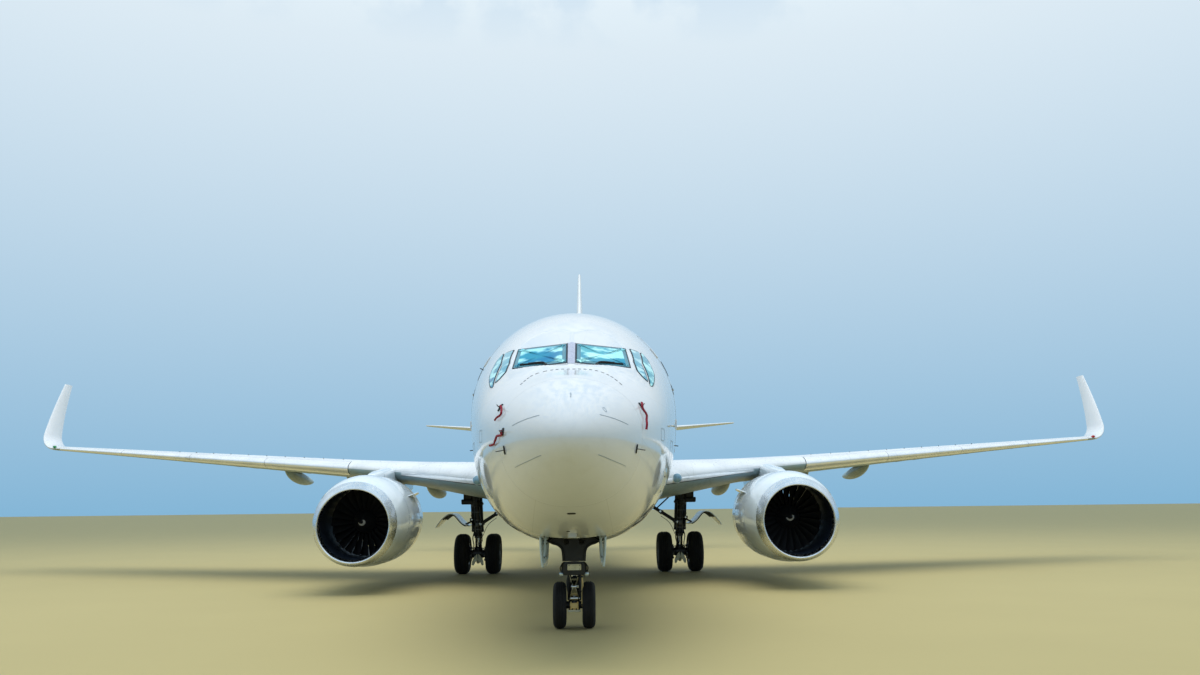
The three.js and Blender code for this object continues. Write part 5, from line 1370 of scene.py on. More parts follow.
wheels = {
    # the tyre's profile, one half of it, and the rim's: shares of the half width and of the radius
    "tyre": ((-0.78, 0.52), (-0.86, 0.6), (-0.97, 0.7), (-0.995, 0.74), (-0.96, 0.82), (-0.85, 0.9), (-0.68, 0.955),
        (-0.5, 0.984), (-0.475, 0.968), (-0.425, 0.968), (-0.4, 0.999), (-0.18, 1), (-0.155, 0.97), (-0.105, 0.97),
        (-0.08, 1)),
    "rim": ((0.62, 0.2), (0.66, 0.215), (0.66, 0.285), (0.6, 0.3), (0.5, 0.36), (0.47, 0.42), (0.6, 0.475),
        (0.78, 0.49), (0.83, 0.505), (0.845, 0.535), (0.81, 0.55), (0.74, 0.53), (-0.74, 0.53), (-0.81, 0.55),
        (-0.845, 0.535), (-0.83, 0.505), (-0.74, 0.485), (-0.3, 0.465), (0.2, 0.45), (0.3, 0.4), (0.15, 0.3),
        (-0.3, 0.26), (-0.6, 0.24), (-0.62, 0.2)),
    "cap": ((0.6, 0.205), (0.7, 0.195), (0.8, 0.165), (0.87, 0.1), (0.89, 0.04), (0.89, 0.0)),
    "main": (16.6, 2.86, 0.87, 0.56, 0.41), "nose": (4.0, 0.0, 0.44, 0.345, 0.2),  # station, x, spacing, radius, width
    # bolts and vents: count, first one's shift, radius, inner and outer end over the width, thickness, sides, paint
    "studs": ((12, 0.5, 0.25, 0.32, 0.355, 0.022, 6, 1), (10, 0, 0.385, 0.21, 0.253, 0.036, 14, 2)),
    "flatReach": math.cos(math.pi / 24),
}


# One wheel: profiles across the tyre are in half widths and radii; out is +1 or -1 along x
def makeWheel(name, body, x, station, radius, width, out):
    reach = radius * wheels["flatReach"]
    centre, scale = at(x, station, reach), np.array([width / 2 * out, reach])
    tyre, hub = Mould(), Mould()
    turned(tyre, bothEnds(wheels["tyre"]) * scale, centre, (1, 0, 0), 72, closed=True)
    makePiece(f"{name}_rubber", tyre, "tyreRubber", f"{name}_tyre", body)
    turned(hub, np.array(wheels["rim"]) * scale, centre, (1, 0, 0), 60, closed=True)
    turned(hub, np.array(wheels["cap"]) * scale, centre, (1, 0, 0), 32, paint=1)
    for count, shift, share, low, high, thick, sides, paint in wheels["studs"]:
        for k in range(count):
            a = 2 * math.pi * (k + shift) / count
            spot = centre + np.array([0, math.cos(a), math.sin(a)]) * radius * share
            ends = (spot + [out * width * end, 0, 0] for end in (low, high))
            rod(hub, *ends, radius * thick, sides=sides, paint=paint)
    valve = (centre + [out * width * end, 0, radius * share] for end, share in ((0.3, 0.44), (0.4, 0.46)))
    rod(hub, *valve, 0.007, sides=8, paint=1)
    makePiece(f"{name}_rim", hub, "wheelPaint gearPaint hoseBlack", f"{name}_wheel", body)


def makeWheels():
    station, _, spacing, radius, width = wheels["nose"]
    for hand, sign in (("left", 1), ("right", -1)):
        makeWheel(f"nose_{hand}", "nose_wheels", sign * spacing / 2, station, radius, width, sign)
    station, x, spacing, radius, width = wheels["main"]
    for hand, sign in (("left", 1), ("right", -1)):
        for place, offset in (("outer", 0.5), ("inner", -0.5)):
            across, out = sign * (x + offset * spacing), sign * (1 if offset > 0 else -1)
            makeWheel(f"main_{hand}_{place}", f"main_wheels_{hand}", across, station, radius, width, out)


makeWheels()
print("wheels made")


# Ring or stepped collar round an upright: rows are (height, radius)
def upright(mould, x, station, rows, sides=36, paint=0):
    turned(mould, rows, at(x, station, 0), (0, 0, 1), sides, paint)


# Clevis: two round-ended ears and a pin across them
def clevis(mould, centre, toward, across, size, gap, pin, paint=0, pinPaint=1):
    centre, across, toward = np.asarray(centre, float), unit(across), unit(toward)
    a = np.linspace(-np.pi / 2, np.pi / 2, 11)
    outline = np.vstack([np.stack([np.cos(a), np.sin(a)], -1) * size,
                         [[-1.5 * size, size * 1.15], [-1.5 * size, -size * 1.15]]])
    second = np.cross(across, toward)
    for sign in (-1, 1):
        slab(mould, outline, centre + across * sign * gap, toward, second, size * 0.55, 0.003, paint)
    rod(mould, centre - across * (gap + size * 0.55), centre + across * (gap + size * 0.55), pin, sides=18,
        paint=pinPaint)
    for sign in (-1, 1):
        end = centre + across * sign * (gap + size * 0.42)
        rod(mould, end, end + across * sign * size * 0.42, pin * 1.6, sides=6, paint=pinPaint)


# Two plates that spread from a narrow apex to a wide root, with a web between: a torque link's arm
def linkArm(mould, root, apex, rootHalf, apexHalf, deep, thick=0.022, paint=0):
    root, apex = np.asarray(root, float), np.asarray(apex, float)
    run = unit(apex - root)
    out = np.cross((1, 0, 0), run)
    for sign in (-1, 1):
        a, b = root + [sign * rootHalf, 0, 0], apex + [sign * apexHalf, 0, 0]
        t = np.linspace(0, 1, 9)[:, None]
        path = a + t * (b - a)
        size = deep * (1 - 0.42 * np.sin(np.pi * t) ** 0.8)
        section = np.array([(1, 0.5), (0.6, 1), (-0.6, 1), (-1, 0.5), (-1, -0.5), (-0.6, -1), (0.6, -1), (1, -0.5)])
        sideways, upwards = section[None, :, :1] * [thick / 2, 0, 0], section[None, :, 1:] * size[:, None] * out
        mould.grid(path[:, None] + sideways + upwards, paint=paint)
    t = np.linspace(0.25, 1, 7)[:, None]
    half = rootHalf + (apexHalf - rootHalf) * t
    path = root + t * (apex - root)
    ring = np.stack([path + [1, 0, 0] * half + out * 0.008, path - [1, 0, 0] * half + out * 0.008,
                     path - [1, 0, 0] * half - out * 0.008, path + [1, 0, 0] * half - out * 0.008], 1)
    mould.grid(ring, paint=paint)
    for end, half, radius in ((root, rootHalf, deep * 0.9), (apex, apexHalf, deep * 0.8)):
        rod(mould, end - [half + 0.016, 0, 0], end + [half + 0.016, 0, 0], radius, sides=20, paint=paint)


mainLeg = {
    "x": 2.86, "station": 16.6, "axle": 0.5552, "lean": 0.065,
    "cylinder": ((1.045, 0.1), (1.05, 0.128), (1.11, 0.132), (1.125, 0.118), (1.3, 0.118), (1.31, 0.136),
        (1.39, 0.136), (1.4, 0.122), (1.86, 0.124), (1.87, 0.15), (2.01, 0.152), (2.02, 0.128), (2.69, 0.128),
        (2.7, 0.11)),
    "piston": ((0.56, 0.083), (1.06, 0.083)), "gland": ((0.985, 0.09), (0.99, 0.104), (1.04, 0.106), (1.046, 0.092)),
    "knuckle": ((-0.125, 0.12), (-0.115, 0.148)),  # halves, as is the axle's line
    "axleLine": ((-0.505, 0.07), (-0.5, 0.086), (-0.3, 0.09), (-0.13, 0.112)),
    "brake": ((0.215, 0.11), (0.22, 0.2), (0.25, 0.228), (0.31, 0.232), (0.316, 0.222), (0.33, 0.222),
        (0.336, 0.232), (0.4, 0.232), (0.405, 0.12)),
    "lug": ((0.02, 0.1), (0.1, 0.02), (0.155, -0.1), (0.165, -0.2), (0.12, -0.22), (0.07, -0.13), (0, -0.06)),
    "hoses": (  # radius, sides, then points by distance across and aft of the leg, and height
        (0.014, 10, (0.095, -0.12, 1.16), (0.13, -0.22, 0.98), (0.1, -0.25, 0.8), (0.13, -0.19, 0.66),
         (0.19, -0.13, 0.6)),
        (0.01, 8, (0.05, -0.13, 1.18), (0.02, -0.27, 0.95), (0.05, -0.24, 0.76), (0.17, -0.1, 0.7)),
    ),
}


def makeMainLegs():
    x, station, axle = mainLeg["x"], mainLeg["station"], mainLeg["axle"]
    mould, lines = Mould(), Mould()

    def on(dx, dy, z):
        return at(x + dx, station + dy, z)

    upright(mould, x, station, mainLeg["cylinder"])
    upright(mould, x, station, mainLeg["piston"], paint=1)
    upright(mould, x, station, mainLeg["gland"], paint=2)
    centre = on(0, 0, axle)
    turned(mould, bothEnds(mainLeg["knuckle"]), centre, (1, 0, 0), 40)
    turned(mould, bothEnds(mainLeg["axleLine"]), centre, (1, 0, 0), 32)
    upright(mould, x, station, ((axle - 0.02, 0.11), (axle + 0.14, 0.112), (axle + 0.19, 0.094), (axle + 0.195, 0.08)))
    for sign in (-1, 1):  # brake packs beside the knuckle, with their pistons
        profile = np.array(mainLeg["brake"]) * [sign, 1]
        turned(mould, profile, centre, (1, 0, 0), 40, paint=3)
        for k in range(6):
            a = 2 * math.pi * (k + 0.3) / 6
            spot = centre + np.array([sign * 0.17, math.cos(a) * 0.17, math.sin(a) * 0.17])
            rod(mould, spot, spot + [sign * 0.06, 0, 0], 0.03, sides=16, paint=2)
        rod(mould, centre + [sign * 0.14, -0.11, -0.02], centre + [sign * 0.24, -0.12, -0.03], 0.024, sides=12)
    # jacking lug and pale fittings below the axle
    for sign in (-1, 1):
        lug = np.array(mainLeg["lug"]) * [sign, 1]
        slab(mould, lug, centre + [0, -0.13, -0.1], (1, 0, 0), (0, 0, 1), 0.045, 0.006, paint=4)
    upright(mould, x, station, ((axle - 0.27, 0.0), (axle - 0.27, 0.03), (axle - 0.235, 0.05), (axle - 0.14, 0.06),
                                (axle - 0.13, 0.058)), 24, 4)
    # torque link behind the leg
    hingeUp, apex, hingeLow = on(0, 0.16, 1.17), on(0, 0.42, 0.9), on(0, 0.15, 0.63)
    linkArm(mould, hingeUp, apex, 0.085, 0.03, 0.04)
    linkArm(mould, hingeLow, apex, 0.085, 0.03, 0.04)
    rod(mould, apex - [0.075, 0, 0], apex + [0.075, 0, 0], 0.02, sides=16, paint=1)
    for z in (1.17, 0.63):
        brick(mould, on(-0.06, 0.03, z - 0.05), on(0.06, 0.15, z + 0.05), 0.012)
    # side strut in two parts with its elbow, up to the well
    outer, inner = on(-0.09, 0, 1.38), at(1.72, station, 2.02)
    elbow = outer + 0.47 * (inner - outer)
    clevis(mould, outer, outer - inner, (0, 1, 0), 0.062, 0.062, 0.026)
    clevis(mould, elbow, inner - outer, (0, 1, 0), 0.052, 0.05, 0.022)
    rod(mould, outer, elbow, 0.05, 0.044, 24)
    rod(mould, elbow, inner, 0.044, 0.048, 24)
    lock = elbow + np.array([-0.1, 0, 0.09])
    rod(mould, lock, on(-0.12, 0, 2.29), 0.02, sides=14)
    rod(mould, lock, elbow, 0.022, sides=14)
    # drag fitting, actuator and cap at the top of the leg
    rod(mould, on(-0.16, -0.2, 1.95), on(0.06, 0.62, 2.32), 0.055, sides=24)
    rod(mould, on(-0.16, -0.2, 1.95), on(-0.16, 0.05, 1.95), 0.042)
    brick(mould, on(0.1, -0.12, 1.93), on(0.42, 0.1, 2.075), 0.02)
    brick(mould, on(0.12, -0.08, 2.05), on(0.36, 0.08, 2.4), 0.02)
    for sign in (-1, 1):  # tubes down both sides of the cylinder, with their clamps
        rod(mould, on(sign * 0.145, -0.02, 1.16), on(sign * 0.145, -0.02, 2.25), 0.026, sides=18)
        for z in (1.2, 1.62, 2.05):
            brick(mould, on(sign * 0.125 - 0.05, -0.055, z - 0.022), on(sign * 0.125 + 0.05, 0.015, z + 0.022))
    clevis(mould, on(0.15, 0, 1.5), (-1, 0, 0), (0, 1, 0), 0.04, 0.04, 0.018)
    # lines and hoses
    for k, (dx, dy) in enumerate(((0.095, -0.11), (-0.095, -0.11), (-0.13, -0.07), (0.05, -0.135))):
        points = [on(dx, dy, 2.25), on(dx, dy, 1.75), on(dx * 1.05, dy * 1.12, 1.45), on(dx * 1.02, dy * 1.05, 1.15)]
        tube(lines, points, 0.011 - 0.002 * (k > 1), 8, 5, up=(0, 1, 0), paint=k % 2)
    for sign in (-1, 1):
        for radius, sides, *points in mainLeg["hoses"]:
            tube(lines, [on(sign * dx, dy, z) for dx, dy, z in points], radius, sides, 6, up=(0, 1, 0))
    for z in (1.22, 1.48, 1.7):
        upright(lines, x, station, ((z, 0.119), (z, 0.142), (z + 0.022, 0.142), (z + 0.022, 0.119)), 32, 1)
    tube(lines, [on(-0.12, -0.03, 1.02), on(-0.3, -0.05, 1.35), on(-0.56, -0.045, 1.55)], 0.007, 8, 6, up=(0, 1, 0))
    brick(lines, on(-0.05, -0.175, 1.3), on(0.05, -0.12, 1.42), 0.01, 1)
    for piece in (mould, lines):  # the leg leans outwards from the axle up
        piece.points = [p + [1, 0, 0] * np.clip(p[..., 2:] - 0.9, 0, 1.2) * mainLeg["lean"] for p in piece.points]
    legPaints = "gearPaint pistonChrome wheelPaint fanMetal paleFitting"
    makePair("main_leg_body", mould, legPaints, "main_leg")
    makePair("main_leg_lines", lines, "hoseBlack wheelPaint")
    # door: an arched plate, its ends rounded off fore and aft
    arch = smoothLine(((3.105, 1.332), (3.23, 1.38), (3.353, 1.488), (3.463, 1.616), (3.562, 1.67), (3.695, 1.641),
                       (3.818, 1.551), (3.938, 1.429), (4.047, 1.3)), 5)
    normal = unit(np.gradient(arch, axis=0))[:, ::-1] * [-1, 1]
    t = np.linspace(0, 1, len(arch))
    outside, inside = np.clip((t - 0.55) / 0.45, 0, 1) ** 2, np.clip((0.18 - t) / 0.18, 0, 1) ** 2
    front, back = 16.055 + 0.3 * outside + 0.16 * inside, 17.275 - 0.42 * outside - 0.16 * inside
    s = np.linspace(0, 1, 17)
    run = front[:, None] + s[None] * (back - front)[:, None]
    halves = []
    for lift in (0.016, -0.016):
        flat = arch[:, None] + normal[:, None] * lift * (1 - 0.6 * np.abs(2 * s[None, :, None] - 1) ** 12)
        halves.append(np.stack([flat[..., 0] + 0 * run, run - midStation, flat[..., 1] + 0 * run], -1))
    ring = np.concatenate([halves[0], halves[1][:, ::-1]], 1)
    door = Mould().grid(ring)
    for station2 in (16.25, 16.6, 16.95, 17.15):  # stiffeners under the plate
        inner = arch[3:-9] - normal[3:-9] * 0.03
        path = np.stack([inner[:, 0], np.full(len(inner), station2 - midStation), inner[:, 1]], -1)
        section = np.array([(0.012, 0.022), (-0.012, 0.022), (-0.012, -0.02), (0.012, -0.02)])
        door.grid(alongPath(path, section, (0, 1, 0)), paint=1)
    for station2 in (16.45, 16.75):
        rod(door, at(3.235, station2, 1.375), at(x + 0.1, station2 * 0.5 + station * 0.5, 1.5), 0.02, sides=16, paint=2)
    clevis(door, at(3.24, 16.6, 1.372), (-0.9, 0, -0.4), (0, 1, 0), 0.03, 0.03, 0.014, 2, 2)
    makePair("main_gear_door_plate", door, "doorPaint bayPaint gearPaint", "main_gear_door")


makeMainLegs()
print("main gear made")


noseLeg = {
    "station": 4.0, "axle": 0.34205,
    "cylinder": ((0.992, 0.078), (0.996, 0.1), (1.06, 0.102), (1.07, 0.09), (1.42, 0.09), (1.43, 0.106),
        (1.52, 0.106), (1.53, 0.092), (2.05, 0.092), (2.055, 0.08)),
    "collar": ((0.835, 0.07), (0.84, 0.096), (0.865, 0.104), (0.95, 0.104), (0.975, 0.096), (0.98, 0.07)),
    "piston": ((0.345, 0.058), (0.86, 0.058)), "knuckle": ((-0.086, 0.062), (-0.08, 0.082)),
    "axleLine": ((-0.295, 0.04), (-0.29, 0.052), (-0.1, 0.056)),
    "shadeWeb": ((-0.425, 1.6), (-0.425, 1.4), (-0.4, 1.345), (-0.383, 1.3), (-0.32, 1.262), (-0.255, 1.242),
        (-0.2, 1.205), (-0.172, 1.16), (-0.16, 1.08), (-0.155, 0.992)),
    "doorOutline": ((2.7, 1.385), (2.735, 1.19), (2.78, 0.965), (3.1, 0.948), (3.6, 0.938), (4.05, 0.932),
        (4.4, 0.93), (4.435, 1.12), (4.46, 1.275), (4.0, 1.285), (3.5, 1.31), (3.1, 1.345)),
    "hoses": (  # radius, sides, paint, then points by x, distance aft of the leg and height
        (0.013, 12, 3, (0.118, -0.1, 0.78), (0.128, -0.13, 0.62), (0.124, -0.12, 0.46), (0.118, -0.1, 0.33)),
        (0.008, 8, 5, (-0.075, -0.09, 0.84), (-0.11, -0.17, 0.68), (-0.09, -0.16, 0.52), (-0.07, -0.09, 0.4)),
        (0.006, 8, 5, (0.06, -0.09, 0.84), (0.09, -0.18, 0.7), (0.075, -0.17, 0.52), (0.06, -0.09, 0.4)),
    ),
}


def makeNoseGear():
    station, axle = noseLeg["station"], noseLeg["axle"]
    mould = Mould()

    def on(dx, dy, z):
        return at(dx, station + dy, z)

    upright(mould, 0, station, noseLeg["cylinder"])
    # arms that spread to the well's sides, ahead of the leg, with a dark sheet between them: the sheet is painted shade
    # of the dark well behind the brace
    shadeWeb = bothEnds(noseLeg["shadeWeb"])
    rows = []
    for aft, grow in ((-0.012, 0.985), (-0.008, 1.0), (0.008, 1.0), (0.012, 0.985)):
        rows.append(np.stack([shadeWeb[:, 0] * grow, np.full(len(shadeWeb), station - 0.125 + aft - midStation), shadeWeb[:, 1]], -1))
    mould.grid(rows)
    for sign in (-1, 1):
        edge = shadeWeb[2:10] if sign < 0 else shadeWeb[2:10] * [-1, 1]
        path = np.stack([edge[:, 0], np.full(len(edge), station - 0.125 - midStation), edge[:, 1]], -1)
        tube(mould, path, 0.022, 10, 3, up=(0, 1, 0))
        rod(mould, on(sign * 0.095, 0, 1.2), at(sign * 0.27, 2.88, 1.88), 0.042, 0.036, 22)
        rod(mould, on(sign * 0.36, 0, 1.7), on(sign * 0.395, 0, 1.7), 0.075, sides=24)
        rod(mould, on(sign * 0.13, 0.08, 1.42), on(sign * 0.24, 0.5, 1.86), 0.026, sides=16)
    rod(mould, at(-0.3, 2.86, 1.9), at(0.3, 2.86, 1.9), 0.04, sides=24)
    rod(mould, on(-0.39, 0, 1.7), on(0.39, 0, 1.7), 0.058, sides=28)
    rod(mould, on(-0.17, -0.02, 1.2), on(0.17, -0.02, 1.2), 0.055, sides=24)
    lines = Mould()
    for k, (dx, dy) in enumerate(((0.075, -0.075), (-0.075, -0.075), (0.1, 0.02), (-0.1, 0.03))):
        tube(lines, [on(dx, dy, 1.95), on(dx, dy, 1.5), on(dx * 1.08, dy * 1.15, 1.2), on(dx * 1.1, dy * 1.1, 1.03)],
             0.009, 8, 5, up=(0, 1, 0), paint=k % 2)
    for z in (1.12, 1.3, 1.62):
        upright(lines, 0, station, ((z, 0.09), (z, 0.106), (z + 0.018, 0.106), (z + 0.018, 0.09)), 28, 1)
    makePiece("nose_leg_body", mould, "gearPaint pistonChrome", "nose_leg")
    makePiece("nose_leg_lines", lines, "hoseBlack wheelPaint")

    fork = Mould()  # paints: gear, chrome, pale, amber, lamp glass, hose
    upright(fork, 0, station, noseLeg["collar"])
    upright(fork, 0, station, noseLeg["piston"], paint=1)
    centre = on(0, 0, axle)
    turned(fork, bothEnds(noseLeg["knuckle"]), centre, (1, 0, 0), 32)
    turned(fork, bothEnds(noseLeg["axleLine"]), centre, (1, 0, 0), 28)
    foot = ((axle - 0.01, 0.074), (axle + 0.09, 0.074), (axle + 0.12, 0.06), (axle + 0.122, 0.05))
    upright(fork, 0, station, foot, 28)
    # steering cylinders either side, the bracket with its pale plate, and two lamps
    for sign in (-1, 1):
        rod(fork, on(sign * 0.15, -0.15, 0.925), on(sign * 0.15, 0.14, 0.925), 0.04, sides=24)
        brick(fork, on(sign * 0.075 - 0.035, -0.06, 0.88), on(sign * 0.075 + 0.035, 0.06, 0.965), 0.012)
        lamp = on(sign * 0.186, -0.1, 0.805)
        turned(fork, np.array([(-0.045, 0.02), (-0.04, 0.034), (0.02, 0.04), (0.048, 0.04), (0.05, 0.034)]) * [-1, 1],
               lamp, (0, 1, 0), 28, 0)
        turned(fork, [(-0.0495, 0.036), (-0.055, 0.03), (-0.058, 0.015), (-0.059, 0.0)], lamp, (0, 1, 0), 28, 4)
        rod(fork, lamp + [0, 0.02, 0.03], on(sign * 0.15, -0.09, 0.9), 0.014, sides=14)
        tube(fork, [on(sign * 0.17, -0.04, 0.96), on(sign * 0.21, -0.1, 0.9), on(sign * 0.2, -0.08, 0.84)],
             0.008, 8, 5, paint=5, up=(0, 1, 0))
    brick(fork, on(-0.19, -0.175, 0.79), on(0.19, -0.135, 0.985), 0.03)
    # dark plate behind the torque link, between the tyres: a made-up plate, painted shade of the space between the
    # tyres
    brick(fork, on(-0.105, 0.085, 0.4), on(0.105, 0.105, 0.86), 0.01)
    for sign in (-1, 1):
        brick(fork, on(sign * 0.09 - 0.014, -0.03, 0.42), on(sign * 0.09 + 0.014, 0.105, 0.8), 0.006)
    brick(fork, on(-0.1, -0.19, 0.862), on(0.108, -0.174, 0.95), 0.008, 2)
    for dx in (-0.075, 0.083):
        for z in (0.878, 0.934):
            rod(fork, on(dx, -0.196, z), on(dx, -0.188, z), 0.006, sides=6)
    # torque link ahead of the piston: bright, with an amber rod on one side
    high, apex, low = on(0, -0.085, 0.81), on(0, -0.285, 0.63), on(0, -0.085, 0.445)
    linkArm(fork, high, apex, 0.07, 0.022, 0.03, 0.018, 1)
    linkArm(fork, low, apex, 0.07, 0.022, 0.03, 0.018, 1)
    rod(fork, apex - [0.055, 0, 0], apex + [0.055, 0, 0], 0.014, sides=16)
    rod(fork, apex + [0.05, 0, 0], apex + [0.064, 0, 0], 0.022, sides=6, paint=2)
    for z in (0.81, 0.445):
        brick(fork, on(-0.045, -0.09, z - 0.03), on(0.045, -0.03, z + 0.03), 0.008, 1)
    for radius, sides, paint, *points in noseLeg["hoses"]:
        tube(fork, [on(*point) for point in points], radius, sides, 6, paint, (0, 1, 0))
    for z in (0.76, 0.55, 0.35):
        brick(fork, on(0.06, -0.125, z - 0.012), on(0.135, -0.06, z + 0.012), 0.006, 0)
    # tow fitting: two cheeks and a cross bar at the axle's front
    for sign in (-1, 1):
        brick(fork, on(sign * 0.052 - 0.012, -0.16, 0.285), on(sign * 0.052 + 0.012, -0.04, 0.395), 0.008, 3)
    brick(fork, on(-0.045, -0.148, 0.302), on(0.045, -0.05, 0.378), 0.006, 3)
    rod(fork, on(-0.095, -0.125, 0.265), on(0.095, -0.125, 0.265), 0.016, sides=16, paint=2)
    rod(fork, on(0, -0.1, 0.3), on(0, -0.1, 0.245), 0.022, sides=20, paint=3)
    forkPaints = "gearPaint pistonChrome paleFitting amberFitting lampGlass hoseBlack"
    makePiece("nose_steering_body", fork, forkPaints, "nose_steering", "nose_fork")

    door = Mould()
    outline = roundedOutline(noseLeg["doorOutline"], 0.035, 3, 1)
    middle = outline.mean(0)
    for rows in (((-0.012, 0.994), (-0.008, 1.0), (0.008, 1.0), (0.012, 0.994), (0.012, 0.6), (0.012, 0.02)),
                 ((-0.012, 0.93), (-0.02, 0.92), (-0.02, 0.5), (-0.02, 0.02))):  # the plate, then its lining
        grid = []
        for lift, grow in rows:
            flat = middle + (outline - middle) * grow
            rise = flat[:, 1] - 0.93
            lean = 0.425 + 0.055 * rise + 0.012 * np.sin(np.clip(rise / 0.57, 0, 1) * np.pi)
            grid.append(np.stack([lean + lift, flat[:, 0] - midStation, flat[:, 1]], -1))
        door.grid(grid)
    for s0 in (2.9, 3.3, 3.7, 4.1):  # curved hinge arms on the inside, up to the well
        path = [at(0.412, s0, 1.02), at(0.402, s0, 1.22), at(0.385, s0, 1.44), at(0.372, s0, 1.6)]
        section = np.array([(0.016, 0.012), (-0.016, 0.012), (-0.016, -0.012), (0.016, -0.012)])
        door.grid(alongPath(smoothLine(path, 5), section, (0, 1, 0)))
    rod(door, at(0.404, 2.95, 1.1), at(0.404, 4.2, 1.08), 0.011, sides=12, paint=1)
    rod(door, at(0.4, 3.3, 1.3), at(0.17, 3.8, 1.44), 0.018, sides=16, paint=1)
    clevis(door, at(0.398, 3.3, 1.3), (-0.5, 0.8, 0.2), (0, 0, 1), 0.024, 0.02, 0.01, 1, 1)
    rod(door, at(0.41, 2.76, 1.105), at(0.396, 2.76, 1.105), 0.014, sides=14, paint=1)
    makePair("nose_gear_door_plate", door, "doorPaint gearPaint", "nose_gear_door")

    # ribs and pipes on the nose well's walls and roof
    well = Mould()
    for s0 in np.arange(2.72, 4.6, 0.26):
        for sign in (-1, 1):
            brick(well, at(sign * 0.386 - 0.012, s0 - 0.012, 1.56), at(sign * 0.386 + 0.012, s0 + 0.012, 2.05), 0.003)
        brick(well, at(-0.385, s0 - 0.012, 2.015), at(0.385, s0 + 0.012, 2.055), 0.003)
    for dx, z in ((-0.34, 1.98), (-0.3, 2.0), (0.33, 1.97), (0.29, 1.99), (0.36, 1.8), (-0.365, 1.78)):
        rod(well, at(dx, 2.6, z), at(dx, 4.58, z), 0.009, sides=10, paint=1)
    brick(well, at(-0.2, 4.5, 1.7), at(0.05, 4.61, 1.95), 0.012, 1)
    brick(well, at(-0.12, 2.57, 1.74), at(0.14, 2.64, 1.96), 0.012, 1)
    makePiece("nose_well_ribs", well, "bayPaint wheelPaint")


makeNoseGear()
print("nose gear made")


details = {
    "pitot": ((1.39, 3.06), (0.98, 2.718)), "vane": (0.97, 2.49),  # station, height
    "sideVanes": ((-1, 5.0, 2.747), (1, 5.0, 2.789), (-1, 5.0, 4.098)),  # side, station, height
    "strips": (((0.3, 2.85), (0.47, 2.817), (0.72, 2.768)), ((0.25, 2.38), (0.49, 2.326), (0.83, 2.27))),
    "ribbons": {  # side, then station and height of points along the ribbon
        "ribbon_left": (1, ((1.42, 3.105), (1.35, 3.045), (1.32, 2.985), (1.33, 2.92), (1.25, 2.82), (1.22, 2.745))),
        "ribbon_right_high": (-1, ((1.36, 3.075), (1.22, 3.01), (1.15, 2.955), (1.2, 2.92), (1.32, 2.885))),
        "ribbon_right_low": (-1, ((0.98, 2.735), (0.96, 2.68), (1.05, 2.675), (1.15, 2.672), (1.2, 2.63),
        (1.25, 2.596), (1.37, 2.58), (1.49, 2.585))),
    },
    "ribbonWidth": 0.03, "ribbonThick": 0.0016,
    "arc": ((1.5, 0.68), (1.66, 0.57), (1.76, 0.46), (1.79, 0.3), (1.76, 0.15), (1.735, 0.0), (1.76, -0.15),
        (1.79, -0.3), (1.78, -0.5), (1.68, -0.59), (1.55, -0.67)),
    "panels": (  # side, station, height, width, tall, corner radius
        (1, 3.3, 2.55, 0.46, 0.38, 0.05), (-1, 3.3, 2.55, 0.46, 0.38, 0.05), (1, 5.75, 2.25, 0.3, 0.3, 0.04),
        (-1, 6.3, 1.9, 0.42, 0.26, 0.04), (1, 7.4, 2.1, 0.34, 0.24, 0.04), (1, 23.8, 2.45, 0.4, 0.3, 0.05),
        (-1, 27.9, 3.9, 0.34, 0.26, 0.05), (1, 27.9, 3.9, 0.34, 0.26, 0.05), (1, 9.1, 2.3, 0.28, 0.2, 0.03),
        (-1, 24.4, 3.0, 0.42, 0.46, 0.06), (1, 2.15, 2.75, 0.24, 0.16, 0.03), (-1, 2.15, 2.75, 0.24, 0.16, 0.03),
    ),
    "hatches": (  # upper (1) or lower (-1) half, station, x, length, width
        (-1, 5.3, 0, 0.6, 0.55), (-1, 7.3, 0.3, 0.46, 0.36), (1, 9.5, 0, 0.3, 0.3), (-1, 24.9, 0, 0.5, 0.5),
        (-1, 29.6, 0, 0.95, 0.34), (1, 13.0, 0, 0.22, 0.22),
    ),
    "aerials": (  # half, station, height, chord at the root and tip, lean
        (1, 10.6, 0.36, 0.42, 0.2, 0.2), (1, 22.6, 0.3, 0.36, 0.18, 0.16), (-1, 11.2, 0.3, 0.36, 0.18, 0.16),
        (-1, 6.9, 0.13, 0.2, 0.12, 0.06), (-1, 7.9, 0.13, 0.2, 0.12, 0.06), (-1, 23.4, 0.16, 0.24, 0.14, 0.08),
    ),
}


# Blade aerial: a foil outline that narrows upwards and leans back, standing on the skin
def aerial(mould, base, outward, height, rootChord, tipChord, lean, thick, paint=0):
    base, outward = np.asarray(base, float), unit(outward)
    f = np.array([0, 0.05, 0.15, 0.35, 0.6, 0.85, 1.0])
    half = np.array([0, 0.35, 0.75, 1.0, 0.8, 0.35, 0.05])
    u = np.concatenate([f, f[::-1][1:-1]])
    v = np.concatenate([half, -half[::-1][1:-1]])
    across = unit(np.cross(outward, (0, 1, 0)))
    aft = np.cross(across, outward)
    aft = aft * (1 if aft[1] > 0 else -1)
    rows = []
    for t in (-0.08, 0.0, 0.35, 0.7, 0.92, 0.985, 1.0):
        chord = rootChord + (tipChord - rootChord) * max(t, 0)
        size = 1 if t < 0.9 else 1 - (t - 0.9) * 4
        back = lean * max(t, 0) + u[:, None] * chord * size
        rows.append(base + outward * t * height + aft * back + across * v[:, None] * thick / 2 * size)
    mould.grid(rows, paint=paint)


